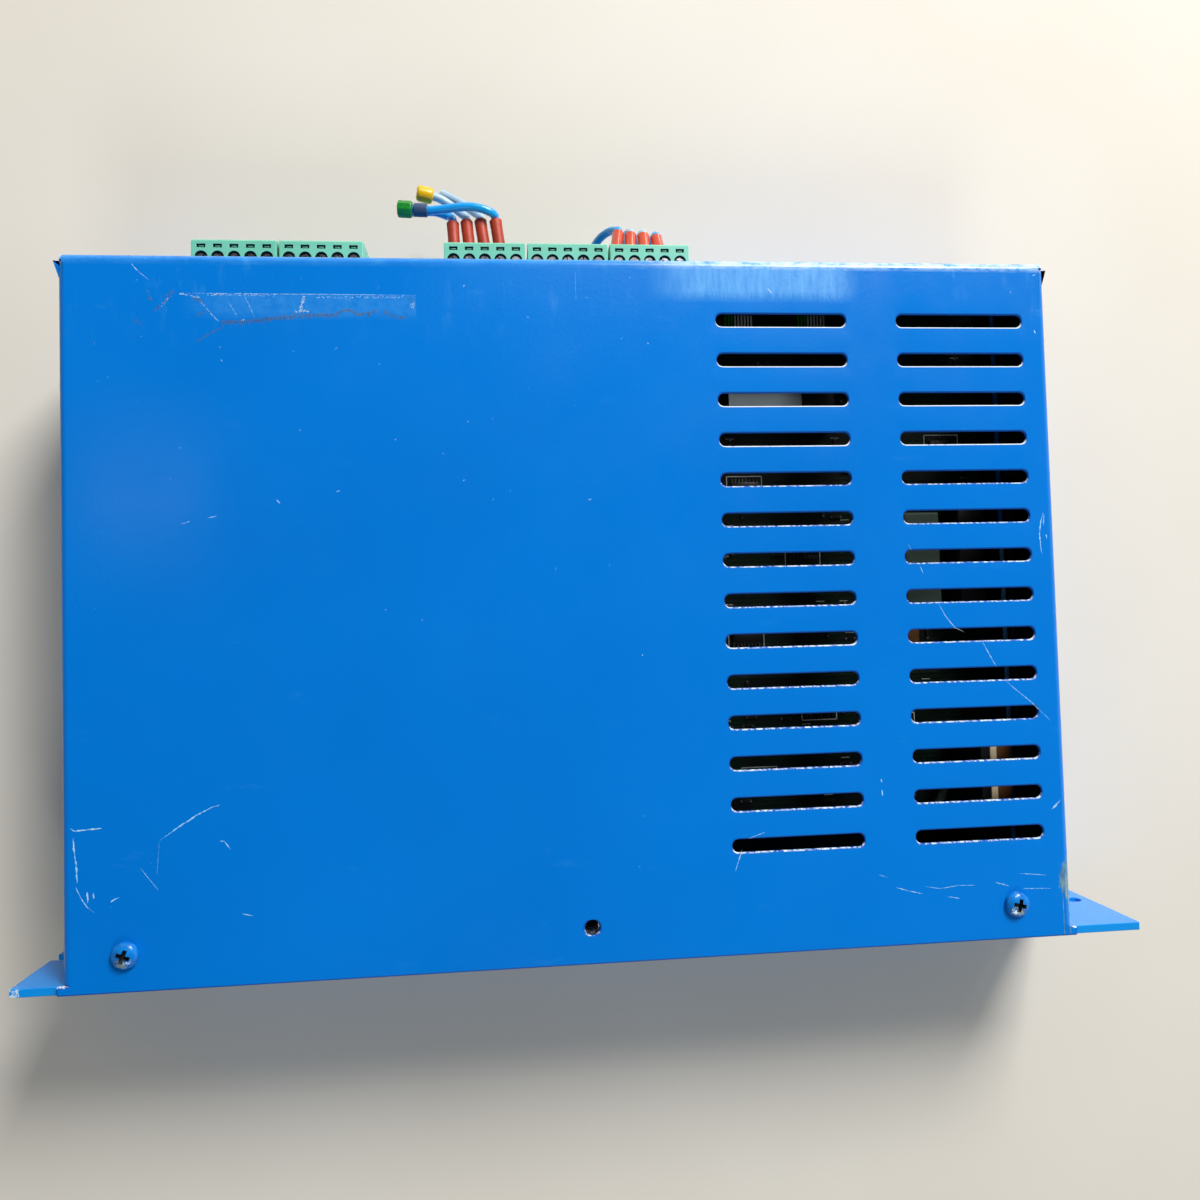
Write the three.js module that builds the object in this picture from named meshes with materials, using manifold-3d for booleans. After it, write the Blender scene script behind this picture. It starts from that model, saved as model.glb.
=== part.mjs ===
// Bench-lying power supply in a vented sheet-steel case with five pluggable terminal blocks.
// Millimetres. The case lies on its plain large side, so +Z leaves the vented face, +Y leaves
// the terminal panel and the mounting plate with its two flanges is at -Y.
import * as THREE from 'three';
import { mergeVertices } from 'three/addons/utils/BufferGeometryUtils.js';
import Module from 'manifold-3d';

const wasm = await Module();
wasm.setup();

// ---- Driving dimensions ----------------------------------------------------------------
// Case coordinates start near the vented face's front left corner: x along the terminal
// panel, y negative over the case, z negative under the face. GAP is the clearance between
// touching pieces.
const GAP = 0.3;
const CASE_LEFT = -1;
const CASE_RIGHT = 305.1;
const CASE_FRONT = 1.5;
const CASE_BACK = -215;
const CASE_DEPTH = 58;
const BEND_RADIUS = 2.4;

// Cover of 1.2 mm sheet
const COVER_SHEET = 1.2;
const FLAP_BOTTOM = -57.7;
const TAB_HEIGHT = 2.8;
const TAB_REACH = 1.5;

// Vents: two columns of obround slots
const VENT_LENGTH = 42;
const VENT_WIDTH = 4;
const VENT_COLUMNS = [217, 275.6];
const VENT_ROWS = 14;
const VENT_FIRST = 17.9;
const VENT_PITCH = 12.6;
const VENT_ARC_STEPS = 4;

// Mounting plate of 2.5 mm sheet, with flanges past both ends and a lip under the face
const PLATE_SHEET = 2.5;
const PLATE_LEFT = -16;
const PLATE_RIGHT = 328.5;
const LIP_REACH = 18.5;
const MOUNT_HOLE_RADIUS = 2.75;
const MOUNT_DEPTH = 29;
const SLOT_CENTRE = -10;
const HOLE_CENTRE = 322.8;

// Pan of 1.5 mm sheet that the case lies on
const PAN_SHEET = 1.5;
const PAN_CLEARANCE = 0.6;
const PAN_LIP = 12;
const PAN_END_LIP = 29;

// M4 fasteners
const SHANK_RADIUS = 2;
const CLEAR_RADIUS = 2.3;
const HEAD_RADIUS = 3.9;
const HEAD_HEIGHT = 2.6;
const FACE_SCREWS = { left: 16.8, middle: 152.1, right: 286.5 };
const FACE_SCREW_INSET = 11;
const END_SCREWS = { front: 30, rear: 185 };
const END_SCREW_DEPTH = 49;

// Terminal blocks: five poles each at 5.08 mm
const POLE_PITCH = 5.08;
const POLES = 5;
const PLUG_WIDTH = 26.4;
const PLUG_HEIGHT = 15;
const PLUG_TOP = -18.3;
const PLUG_FRONT = 14;
const PLUG_BODY_LENGTH = 10.5;
const PLUG_TONGUE_LENGTH = 8;
const PLUG_CENTRES = [44.8, 72, 124.2, 151.4, 178.6];
const PLUG_GROUPS = [[0, 1], [2, 4]];
const WIRE_ENTRY = -27.8;

// Main board
const BOARD = { x0: 6, x1: 298, y0: -182, y1: -4.5, top: -33.9, thickness: 1.6 };
const BOARD_POSTS = [[14, -172], [288, -172], [14, -16], [288, -16]];

// Wires, their end sleeves and slip-on markers
const WIRE_RADIUS = 1.4;
const WIRE_SIDES = 8;
const SLEEVE_RADIUS = 2.1;
const SLEEVE_SIDES = 10;

// The row frame's origin is the bottom centre of the case with its flanges and plugs.
const CENTRE_X = (PLATE_LEFT + PLATE_RIGHT) / 2;
const CENTRE_Y = (PLUG_FRONT + CASE_BACK) / 2;

// ---- Materials -------------------------------------------------------------------------
const paint = (color, roughness, metalness) =>
  new THREE.MeshStandardMaterial({ color, roughness, metalness });
const MATERIALS = {
  bluePaint: paint(0x0f6fd6, 0.35, 0),
  zinc: paint(0xb4b8bc, 0.35, 0.9),
  greenPlastic: paint(0x8fe0bd, 0.5, 0),
  boardGreen: paint(0x0d3b22, 0.5, 0),
  orangeSleeve: paint(0xc8452a, 0.45, 0),
  blueWire: paint(0x1286d8, 0.4, 0),
  greyWire: paint(0x9fb3c4, 0.45, 0),
  greenMarker: paint(0x1f9a35, 0.4, 0),
  yellowMarker: paint(0xe8b810, 0.4, 0),
  greyMarker: paint(0x53657a, 0.5, 0),
  blackPlastic: paint(0x15161a, 0.45, 0),
  aluminium: paint(0xb9bcc0, 0.4, 0.8),
  coreSteel: paint(0x4a4744, 0.5, 0.6),
  greyBlock: paint(0x8a9a8c, 0.5, 0),
  glass: paint(0xdfe6e8, 0.1, 0),
};

// ---- Geometry helpers ------------------------------------------------------------------
// Closed three.js geometry to a boolean solid
function solid(geometry) {
  const bare = geometry.clone();
  bare.deleteAttribute('normal');
  bare.deleteAttribute('uv');
  const merged = mergeVertices(bare, 1e-4);
  return new wasm.Manifold(new wasm.Mesh({
    numProp: 3,
    vertProperties: merged.attributes.position.array,
    triVerts: new Uint32Array(merged.index.array),
  }));
}

// Boolean solid back to a three.js geometry
function geometryOf(shape) {
  const mesh = shape.getMesh();
  const geometry = new THREE.BufferGeometry();
  geometry.setAttribute('position', new THREE.BufferAttribute(mesh.vertProperties, 3));
  geometry.setIndex(new THREE.BufferAttribute(mesh.triVerts, 1));
  geometry.computeVertexNormals();
  return geometry;
}

function block(x0, x1, y0, y1, z0, z1) {
  const geometry = new THREE.BoxGeometry(x1 - x0, y1 - y0, z1 - z0);
  geometry.translate((x0 + x1) / 2, (y0 + y1) / 2, (z0 + z1) / 2);
  return solid(geometry);
}

// Cylinder from one point to another
function rod(from, to, radius, sides) {
  const start = new THREE.Vector3(...from);
  const along = new THREE.Vector3(...to).sub(start);
  const geometry = new THREE.CylinderGeometry(radius, radius, along.length(), sides);
  const turn = new THREE.Quaternion().setFromUnitVectors(
    new THREE.Vector3(0, 1, 0), along.clone().normalize());
  geometry.applyQuaternion(turn);
  geometry.translate(...start.addScaledVector(along, 0.5).toArray());
  return solid(geometry);
}

// Profile turned about Z; the points go from the axis round the outside to the axis
function turned(profile, sides) {
  const points = profile.map(([radius, height]) => new THREE.Vector2(radius, height));
  const geometry = new THREE.LatheGeometry(points, sides);
  geometry.rotateX(Math.PI / 2);
  return solid(geometry);
}

function outline(points) {
  return new THREE.Shape(points.map(([a, b]) => new THREE.Vector2(a, b)));
}

// Outline in the YZ plane, extruded from x0 to x1
function alongX(shape, x0, x1, curveSegments = 3) {
  const geometry = new THREE.ExtrudeGeometry(shape, {
    depth: x1 - x0, bevelEnabled: false, curveSegments });
  geometry.applyMatrix4(new THREE.Matrix4().makeBasis(
    new THREE.Vector3(0, 1, 0), new THREE.Vector3(0, 0, 1), new THREE.Vector3(1, 0, 0)));
  geometry.translate(x0, 0, 0);
  return solid(geometry);
}

// Outline in the XZ plane, extruded from y0 to y1
function alongY(shape, y0, y1, curveSegments = 3) {
  const geometry = new THREE.ExtrudeGeometry(shape, {
    depth: y1 - y0, bevelEnabled: false, curveSegments });
  geometry.applyMatrix4(new THREE.Matrix4().makeBasis(
    new THREE.Vector3(1, 0, 0), new THREE.Vector3(0, 0, 1), new THREE.Vector3(0, -1, 0)));
  geometry.translate(0, y1, 0);
  return solid(geometry);
}

// Outline in the XY plane, extruded from z0 to z1
function alongZ(shape, z0, z1, curveSegments = 3) {
  const geometry = new THREE.ExtrudeGeometry(shape, {
    depth: z1 - z0, bevelEnabled: false, curveSegments });
  geometry.translate(0, 0, z0);
  return solid(geometry);
}

const joined = (shapes) => shapes.reduce((whole, next) => whole.add(next));
const cut = (shape, tools) => (tools.length ? shape.subtract(joined(tools)) : shape);

// ---- The assembly ----------------------------------------------------------------------
const powerSupply = new THREE.Group();
const caseGroup = new THREE.Group();
caseGroup.position.set(-CENTRE_X, -CENTRE_Y, CASE_DEPTH);
powerSupply.add(caseGroup);

function place(name, geometry, material, parent = caseGroup) {
  const mesh = new THREE.Mesh(geometry, material);
  mesh.name = name;
  parent.add(mesh);
  return mesh;
}

const placeSolid = (name, shape, material, parent) =>
  place(name, geometryOf(shape), material, parent);

// ---- Sheet-metal case ------------------------------------------------------------------
// Round-topped block, open to one side, that the cover's outside and inside are cut from
function coverBlock(inset) {
  const radius = BEND_RADIUS - inset;
  const left = CASE_LEFT + inset;
  const right = CASE_RIGHT - inset;
  const front = CASE_FRONT - inset;
  const back = CASE_BACK + TAB_HEIGHT;
  const ends = new THREE.Shape();
  ends.moveTo(left, FLAP_BOTTOM);
  ends.lineTo(right, FLAP_BOTTOM);
  ends.lineTo(right, -BEND_RADIUS);
  ends.absarc(right - radius, -BEND_RADIUS, radius, 0, Math.PI / 2, false);
  ends.lineTo(left + radius, -inset);
  ends.absarc(left + radius, -BEND_RADIUS, radius, Math.PI / 2, Math.PI, false);
  ends.closePath();
  const panel = new THREE.Shape();
  panel.moveTo(back, FLAP_BOTTOM);
  panel.lineTo(front, FLAP_BOTTOM);
  panel.lineTo(front, -BEND_RADIUS);
  panel.absarc(front - radius, -BEND_RADIUS, radius, 0, Math.PI / 2, false);
  panel.lineTo(back, -inset);
  panel.closePath();
  return alongY(ends, back, front).intersect(alongX(panel, left, right));
}

function obround(centreX, centreY) {
  const straight = (VENT_LENGTH - VENT_WIDTH) / 2;
  const radius = VENT_WIDTH / 2;
  const slot = new THREE.Shape();
  slot.moveTo(centreX - straight, centreY - radius);
  slot.absarc(centreX + straight, centreY, radius, -Math.PI / 2, Math.PI / 2, false);
  slot.absarc(centreX - straight, centreY, radius, Math.PI / 2, Math.PI * 1.5, false);
  return alongZ(slot, -COVER_SHEET - 1, 1, VENT_ARC_STEPS);
}

function ventSlots() {
  const slots = [];
  for (const column of VENT_COLUMNS) {
    for (let row = 0; row < VENT_ROWS; row += 1) {
      slots.push(obround(column, -VENT_FIRST - row * VENT_PITCH));
    }
  }
  return slots;
}

const faceScrewY = CASE_BACK + FACE_SCREW_INSET;
const faceHoles = (top, bottom, radius) => Object.values(FACE_SCREWS)
  .map((x) => rod([x, faceScrewY, bottom], [x, faceScrewY, top], radius, 12));
const endHoles = (x0, x1, radius) => Object.values(END_SCREWS)
  .map((y) => rod([x0, -y, -END_SCREW_DEPTH], [x1, -y, -END_SCREW_DEPTH], radius, 12));

function terminalOpenings() {
  const side = PLUG_WIDTH / 2 + 0.6;
  return PLUG_GROUPS.map(([first, last]) => block(
    PLUG_CENTRES[first] - side, PLUG_CENTRES[last] + side, CASE_FRONT - 3, CASE_FRONT + 1,
    PLUG_TOP - PLUG_HEIGHT - 0.6, PLUG_TOP + 0.6));
}

function ventedCover() {
  const back = CASE_BACK + TAB_HEIGHT;
  const left = CASE_LEFT + COVER_SHEET;
  const right = CASE_RIGHT - COVER_SHEET;
  const inside = coverBlock(COVER_SHEET).add(block(left, right,
    back - 1, CASE_FRONT - BEND_RADIUS, FLAP_BOTTOM - 1, -COVER_SHEET));
  const openBelow = block(left, right, back - 1, CASE_FRONT - COVER_SHEET,
    FLAP_BOTTOM - 1, FLAP_BOTTOM + 1);
  const shell = coverBlock(0).subtract(inside).subtract(openBelow);
  const tabs = block(CASE_LEFT - TAB_REACH, CASE_RIGHT + TAB_REACH, CASE_BACK, back,
    -COVER_SHEET, 0);
  const seamTop = CASE_FRONT - COVER_SHEET;
  const seams = [[CASE_LEFT - 1, left], [right, CASE_RIGHT + 1]].map(([x0, x1]) => block(
    x0, x1, seamTop - GAP, seamTop, FLAP_BOTTOM - 1, -BEND_RADIUS));
  return cut(shell.add(tabs), [
    ...seams, ...ventSlots(), ...faceHoles(1, -3, CLEAR_RADIUS),
    ...endHoles(CASE_LEFT - 1, CASE_LEFT + 3, CLEAR_RADIUS),
    ...endHoles(CASE_RIGHT - 3, CASE_RIGHT + 1, CLEAR_RADIUS), ...terminalOpenings(),
  ]);
}

function mountingPlate() {
  const top = -COVER_SHEET - GAP;
  const inner = CASE_BACK + PLATE_SHEET;
  const plate = block(PLATE_LEFT, PLATE_RIGHT, CASE_BACK, inner, -CASE_DEPTH, top);
  const lip = block(CASE_LEFT + 4, CASE_RIGHT - 4, inner, inner + LIP_REACH,
    top - PLATE_SHEET, top);
  const slotMouth = block(PLATE_LEFT - 1, SLOT_CENTRE, CASE_BACK - 1, inner + 1,
    -MOUNT_DEPTH - MOUNT_HOLE_RADIUS, -MOUNT_DEPTH + MOUNT_HOLE_RADIUS);
  const mountHole = (x) => rod([x, CASE_BACK - 1, -MOUNT_DEPTH],
    [x, inner + 1, -MOUNT_DEPTH], MOUNT_HOLE_RADIUS, 20);
  return cut(plate.add(lip), [slotMouth, mountHole(SLOT_CENTRE), mountHole(HOLE_CENTRE),
    ...faceHoles(0, top - PLATE_SHEET - 1, 3 + GAP)]);
}

function basePan() {
  const x0 = CASE_LEFT + COVER_SHEET + PAN_CLEARANCE;
  const x1 = CASE_RIGHT - COVER_SHEET - PAN_CLEARANCE;
  const y0 = CASE_BACK + PLATE_SHEET + GAP;
  const y1 = CASE_FRONT - COVER_SHEET - PAN_CLEARANCE;
  const outer = block(x0, x1, y0, y1, -CASE_DEPTH, -PAN_END_LIP);
  const inner = block(x0 + PAN_SHEET, x1 - PAN_SHEET, y0 + PAN_SHEET, y1 - PAN_SHEET,
    -CASE_DEPTH + PAN_SHEET, 0);
  const lowLips = block(x0 + 4, x1 - 4, y0 - 1, y1 + 1, -CASE_DEPTH + PAN_LIP, 0);
  return cut(outer, [inner, lowLips,
    ...endHoles(CASE_LEFT, CASE_LEFT + 6, CLEAR_RADIUS),
    ...endHoles(CASE_RIGHT - 6, CASE_RIGHT, CLEAR_RADIUS)]);
}

// Pan-head screw with a cross recess, head seat at z = 0 and shank down
function panScrew(shankLength) {
  const body = turned([[0, -shankLength], [SHANK_RADIUS, -shankLength], [SHANK_RADIUS, 0],
    [HEAD_RADIUS, 0], [HEAD_RADIUS, 0.9], [HEAD_RADIUS * 0.8, 1.9], [HEAD_RADIUS * 0.4, 2.5],
    [0, HEAD_HEIGHT]], 12);
  const arm = 2.1;
  const web = 0.5;
  const floor = HEAD_HEIGHT - 1.5;
  return cut(body, [block(-arm, arm, -web, web, floor, 4), block(-web, web, -arm, arm, floor, 4)]);
}

function faceNut() {
  const top = -COVER_SHEET - GAP - 0.1;
  const collar = top - PLATE_SHEET - GAP;
  const body = turned([[0, collar - 4.5], [3, collar - 4.5], [3, collar - 1], [4.5, collar - 1],
    [4.5, collar], [3, collar], [3, top], [0, top]], 12);
  return body.subtract(rod([0, 0, collar - 6], [0, 0, 1], CLEAR_RADIUS, 12));
}

placeSolid('mounting_plate', mountingPlate(), MATERIALS.bluePaint);
placeSolid('base_pan', basePan(), MATERIALS.bluePaint);
placeSolid('vented_cover', ventedCover(), MATERIALS.bluePaint);

for (const [side, x] of Object.entries(FACE_SCREWS)) {
  placeSolid(`face_nut_${side}`, faceNut(), MATERIALS.zinc).position.set(x, faceScrewY, 0);
  // The middle screw is lost, so its nut shows through the open hole.
  if (side !== 'middle') {
    placeSolid(`face_screw_${side}`, panScrew(8), MATERIALS.zinc)
      .position.set(x, faceScrewY, 0.1);
  }
}

for (const [side, x, turn] of [['left', CASE_LEFT - 0.1, -1],
  ['right', CASE_RIGHT + 0.1, 1]]) {
  for (const [end, y] of Object.entries(END_SCREWS)) {
    const screw = placeSolid(`end_screw_${side}_${end}`, panScrew(5), MATERIALS.zinc);
    screw.rotation.y = turn * Math.PI / 2;
    screw.position.set(x, -y, -END_SCREW_DEPTH);
  }
}

// ---- Main board and what stands on it --------------------------------------------------
const boardBottom = BOARD.top - BOARD.thickness;
const onBoard = BOARD.top + GAP;

placeSolid('main_board', cut(
  block(BOARD.x0, BOARD.x1, BOARD.y0, BOARD.y1, boardBottom, BOARD.top),
  BOARD_POSTS.map(([x, y]) => rod([x, y, boardBottom - 1], [x, y, BOARD.top + 1], 1.8, 10)),
), MATERIALS.boardGreen);

BOARD_POSTS.forEach(([x, y], index) => {
  const floor = -CASE_DEPTH + PAN_SHEET + GAP;
  const post = rod([x, y, floor], [x, y, boardBottom - GAP], 3.2, 6);
  const bore = rod([x, y, boardBottom - 8], [x, y, BOARD.top], 1.8, 10);
  placeSolid(`board_standoff_${index + 1}`, post.subtract(bore), MATERIALS.zinc);
  const screw = turned([[0, -6], [1.5, -6], [1.5, 0], [2.9, 0], [2.9, 0.8], [1.8, 1.7], [0, 2]],
    10);
  placeSolid(`board_screw_${index + 1}`, screw, MATERIALS.zinc)
    .position.set(x, y, BOARD.top + 0.1);
});

function transformer() {
  return joined([
    block(20, 86, -161, -139, onBoard, onBoard + 27),
    block(32, 74, -172, -128, onBoard + 2.5, onBoard + 23),
  ]);
}

function bulkCapacitor(x, y) {
  const radius = 14.8;
  return turned([[0, 0], [radius, 0], [radius, 27], [radius - 1, 28], [0, 28]], 20)
    .translate(x, y, onBoard);
}

// Finned extrusion that stands along the mounting plate
function heatSink() {
  const x0 = 42;
  const x1 = 138;
  const back = CASE_BACK + PLATE_SHEET + PAN_SHEET + 2 * GAP;
  const fins = 9;
  const finPitch = 4;
  const web = block(x0, x1, back, back + 4, -52, -12);
  const blades = Array.from({ length: fins }, (_, index) => {
    const z = -50.5 + index * (finPitch + 0.5);
    return block(x0, x1, back + 3.9, back + 20, z, z + 1.6);
  });
  return joined([web, ...blades]);
}

placeSolid('transformer', transformer(), MATERIALS.coreSteel);
placeSolid('bulk_capacitor_1', bulkCapacitor(112, -150), MATERIALS.blackPlastic);
placeSolid('bulk_capacitor_2', bulkCapacitor(146, -150), MATERIALS.blackPlastic);
placeSolid('heat_sink', heatSink(), MATERIALS.aluminium);
placeSolid('rectifier_bridge', block(158, 186, -176, -170, onBoard, onBoard + 20),
  MATERIALS.blackPlastic);
placeSolid('filter_capacitor_1', block(263, 275.5, -108, -77, onBoard, onBoard + 14),
  MATERIALS.greyBlock);
placeSolid('filter_capacitor_2', block(283, 292.5, -112, -74, onBoard, onBoard + 12),
  MATERIALS.greyBlock);
placeSolid('firmware_chip', block(205, 243, -45.5, -31, onBoard, onBoard + 8),
  MATERIALS.blackPlastic);
placeSolid('output_relay', block(150, 179, -46, -33, onBoard, onBoard + 15.5),
  MATERIALS.blackPlastic);
placeSolid('mains_fuse', rod([31, -34, onBoard + 4], [52, -34, onBoard + 4], 2.6, 12),
  MATERIALS.glass);

// ---- Pluggable terminal blocks ---------------------------------------------------------
// Local frame of a plug and its header: x from the middle pole, y from the plug's front,
// z from the plug's top
const poleOffsets = Array.from({ length: POLES },
  (_, pole) => (pole - (POLES - 1) / 2) * POLE_PITCH);
const TONGUE = { side: 11.9, top: -4.4, bottom: -13.6 };
const PIN_SIDE = 0.5;
const pinZ = (TONGUE.top + TONGUE.bottom) / 2;

function terminalPlug() {
  const half = PLUG_WIDTH / 2;
  const shoulder = -PLUG_BODY_LENGTH;
  const end = shoulder - PLUG_TONGUE_LENGTH;
  const body = alongX(outline([[shoulder, -PLUG_HEIGHT], [0, -PLUG_HEIGHT], [0, -1.3],
    [-0.8, -0.9], [-0.8, 0], [shoulder, 0]]), -half, half);
  const tongue = block(-TONGUE.side, TONGUE.side, end, shoulder + 0.5, TONGUE.bottom, TONGUE.top);
  const entry = WIRE_ENTRY - PLUG_TOP;
  const pockets = poleOffsets.flatMap((x) => [
    rod([x, -6.1, -4], [x, -6.1, 1], 1.9, 12),
    block(x - 1.3, x + 1.3, -3.05, -1.95, -1, 1),
    rod([x, -3.5, entry], [x, 1, entry], 2.2, 12),
    block(x - 0.9, x + 0.9, end - 1, end + 6.5, pinZ - 0.9, pinZ + 0.9),
  ]);
  return cut(body.add(tongue), pockets);
}

function boardHeader() {
  const half = PLUG_WIDTH / 2;
  const mouth = -PLUG_BODY_LENGTH - GAP;
  const floor = mouth - PLUG_TONGUE_LENGTH - 0.6;
  const shell = block(-half, half, floor - 2.6, mouth, onBoard - PLUG_TOP, TONGUE.top + 1.3);
  const socket = block(-TONGUE.side - GAP, TONGUE.side + GAP, floor, mouth + 1,
    TONGUE.bottom - GAP, TONGUE.top + GAP);
  const pins = poleOffsets.map((x) => block(x - PIN_SIDE, x + PIN_SIDE, floor - 0.5, floor + 6,
    pinZ - PIN_SIDE, pinZ + PIN_SIDE));
  return joined([shell.subtract(socket), ...pins]);
}

PLUG_CENTRES.forEach((x, index) => {
  const seat = new THREE.Group();
  seat.position.set(x, PLUG_FRONT, PLUG_TOP);
  caseGroup.add(seat);
  placeSolid(`board_header_${index + 1}`, boardHeader(), MATERIALS.greenPlastic, seat);
  placeSolid(`terminal_plug_${index + 1}`, terminalPlug(), MATERIALS.greenPlastic, seat);
});

// ---- Cut-off wires still clamped in plugs 3 and 5 --------------------------------------
// Tube or ring swept from point to point
function ringBetween(from, to, outer, inner) {
  const ring = new THREE.Shape();
  ring.absarc(0, 0, outer, 0, Math.PI * 2, false);
  const hole = new THREE.Path();
  hole.absarc(0, 0, inner, 0, Math.PI * 2, true);
  ring.holes.push(hole);
  return new THREE.ExtrudeGeometry(ring, {
    steps: 1, bevelEnabled: false, curveSegments: SLEEVE_SIDES / 2,
    extrudePath: new THREE.LineCurve3(new THREE.Vector3(...from), new THREE.Vector3(...to)),
  });
}

function wireAlong(points, steps) {
  const path = new THREE.CatmullRomCurve3(points.map((point) => new THREE.Vector3(...point)));
  const section = new THREE.Shape(Array.from({ length: WIRE_SIDES }, (_, side) => {
    const angle = (side / WIRE_SIDES) * Math.PI * 2;
    return new THREE.Vector2(WIRE_RADIUS * Math.cos(angle), WIRE_RADIUS * Math.sin(angle));
  }));
  return new THREE.ExtrudeGeometry(section, { steps, bevelEnabled: false, extrudePath: path });
}

const mix = (from, to, share) => from.map((value, axis) => value + (to[axis] - value) * share);

// One clamped wire: straight through its sleeve, then along its own free points.
// tip is the sleeve's far end; the wire starts inside the plug's entry.
function clampedWire(name, plug, pole, tip, free, material, steps) {
  const poleX = PLUG_CENTRES[plug - 1] + poleOffsets[pole - 1];
  const base = [poleX, PLUG_FRONT + GAP, WIRE_ENTRY];
  const reach = (share) => mix(base, tip, share);
  place(`sleeve_${name}`, ringBetween(base, tip, SLEEVE_RADIUS, WIRE_RADIUS + GAP),
    MATERIALS.orangeSleeve);
  const points = [reach(-0.1), reach(0.35), reach(0.8), reach(1.12), ...free];
  place(`wire_${name}`, wireAlong(points, steps), material);
}

const { blueWire, greyWire } = MATERIALS;
clampedWire('3a', 3, 1, [113.5, 24.8, -29.8],
  [[111.8, 28, -31.6], [107.5, 29.6, -32.2], [102.5, 29.4, -32], [97, 28.8, -31.6]],
  blueWire, 9);
clampedWire('3b', 3, 2, [118.1, 25.4, -30],
  [[116.4, 28.8, -31.4], [112.9, 31.9, -32.2], [108.4, 34.3, -31.6], [102, 35.3, -30.6]],
  greyWire, 9);
clampedWire('3c', 3, 3, [122.8, 25.9, -30.2],
  [[120.9, 29.6, -32.4], [117.2, 33.2, -34.6], [113.2, 36.1, -36], [109.4, 38.2, -37]],
  greyWire, 9);
clampedWire('3d', 3, 4, [127.9, 25.4, -28.6],
  [[127.2, 26.9, -27], [125.2, 27.7, -26.2], [121.8, 28.5, -25.8], [117.7, 28.7, -25.8],
    [110, 27.8, -26], [105.2, 27.4, -26.1], [97.2, 27.8, -26.3]], blueWire, 14);
place('marker_grey', ringBetween([105.4, 27.4, -26.1], [101, 27.56, -26.2], 2.2, 1.8),
  MATERIALS.greyMarker);
place('marker_green', ringBetween([100.6, 27.6, -26.2], [95.6, 27.88, -26.3], 2.8, 1.9),
  MATERIALS.greenMarker);
place('marker_yellow', ringBetween([107, 34.56, -31.4], [101.6, 35.38, -30.5], 2.6, 1.9),
  MATERIALS.yellowMarker);

clampedWire('5a', 5, 1, [170, 22.9, -32],
  [[169.6, 24.9, -34.2], [167.8, 25.9, -37.2], [165.4, 25.6, -40.6], [163.3, 24.3, -44.6],
    [162, 22.4, -49.6], [161.4, 20.6, -54.8]], blueWire, 11);
clampedWire('5b', 5, 2, [174.3, 22.3, -32],
  [[174.2, 24.2, -34.3], [173.6, 24.9, -38], [172.8, 24.2, -43], [172.2, 23.1, -49],
    [171.8, 22.4, -55]], greyWire, 10);
clampedWire('5c', 5, 3, [178.7, 22.1, -32],
  [[178.8, 23.9, -34.3], [178.6, 24.5, -38], [178.2, 24, -43], [177.8, 23.1, -49],
    [177.5, 22.5, -55]], greyWire, 10);
clampedWire('5d', 5, 4, [183.2, 21.5, -32],
  [[183.3, 23.3, -34.3], [183.2, 24, -38], [182.9, 23.6, -43], [182.6, 22.8, -49],
    [182.4, 22.3, -55]], blueWire, 10);

export default powerSupply;
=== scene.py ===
"""Looks for the flanged power supply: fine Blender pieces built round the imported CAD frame.

Case coordinates are millimetres from the front left corner of the vented face: x along the
terminal panel, y out of the panel (negative over the case), z up (negative below the face).
"""
import math
import random

import bmesh
import bpy
from mathutils import Matrix, Vector


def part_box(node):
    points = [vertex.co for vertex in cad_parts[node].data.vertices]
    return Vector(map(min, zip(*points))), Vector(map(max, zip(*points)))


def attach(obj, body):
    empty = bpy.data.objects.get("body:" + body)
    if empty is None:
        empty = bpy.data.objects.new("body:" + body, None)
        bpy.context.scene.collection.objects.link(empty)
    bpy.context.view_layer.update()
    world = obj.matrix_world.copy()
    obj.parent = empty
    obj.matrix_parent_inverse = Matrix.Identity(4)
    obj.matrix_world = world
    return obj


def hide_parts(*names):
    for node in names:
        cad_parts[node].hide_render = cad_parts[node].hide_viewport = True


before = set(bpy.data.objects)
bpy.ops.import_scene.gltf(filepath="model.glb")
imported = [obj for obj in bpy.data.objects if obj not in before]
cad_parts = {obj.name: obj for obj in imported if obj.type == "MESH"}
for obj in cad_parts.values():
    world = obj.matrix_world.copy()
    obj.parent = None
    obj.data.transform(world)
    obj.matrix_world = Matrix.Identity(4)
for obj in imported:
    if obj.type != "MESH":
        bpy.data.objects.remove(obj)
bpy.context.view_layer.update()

# ---- Sizes, in millimetres of the case -----------------------------------------------------
MM = 0.001
UP = Vector((0, 0, 1))
TAB_REACH = 1.5
CASE_LEFT = -1.0
CASE_FRONT = 1.5
COVER_LOW, COVER_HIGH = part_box("vented_cover")
ORIGIN = Vector((COVER_LOW.x + (TAB_REACH - CASE_LEFT) * MM, COVER_HIGH.y - CASE_FRONT * MM,
                 COVER_HIGH.z))
CASE_RIGHT = (COVER_HIGH.x - ORIGIN.x) / MM - TAB_REACH
CASE_BACK = (COVER_LOW.y - ORIGIN.y) / MM
FLAP_BOTTOM = (COVER_LOW.z - COVER_HIGH.z) / MM
BEND_RADIUS = 2.4
BEND_STEPS = 8
BEND_LENGTH = BEND_RADIUS * math.pi / 2
LIP_ROUNDING = 0.56
COVER_SHEET = 1.2
TAB_LINE = CASE_BACK + 2.8
CORNER_RELIEF = 0.6

VENT_COLUMNS = (217.0, 275.6)
VENT_ROWS = 14
VENT_FIRST = -17.9
VENT_PITCH = 12.6
VENT_HALF = 19.0
VENT_RADIUS = 2.0

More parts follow.
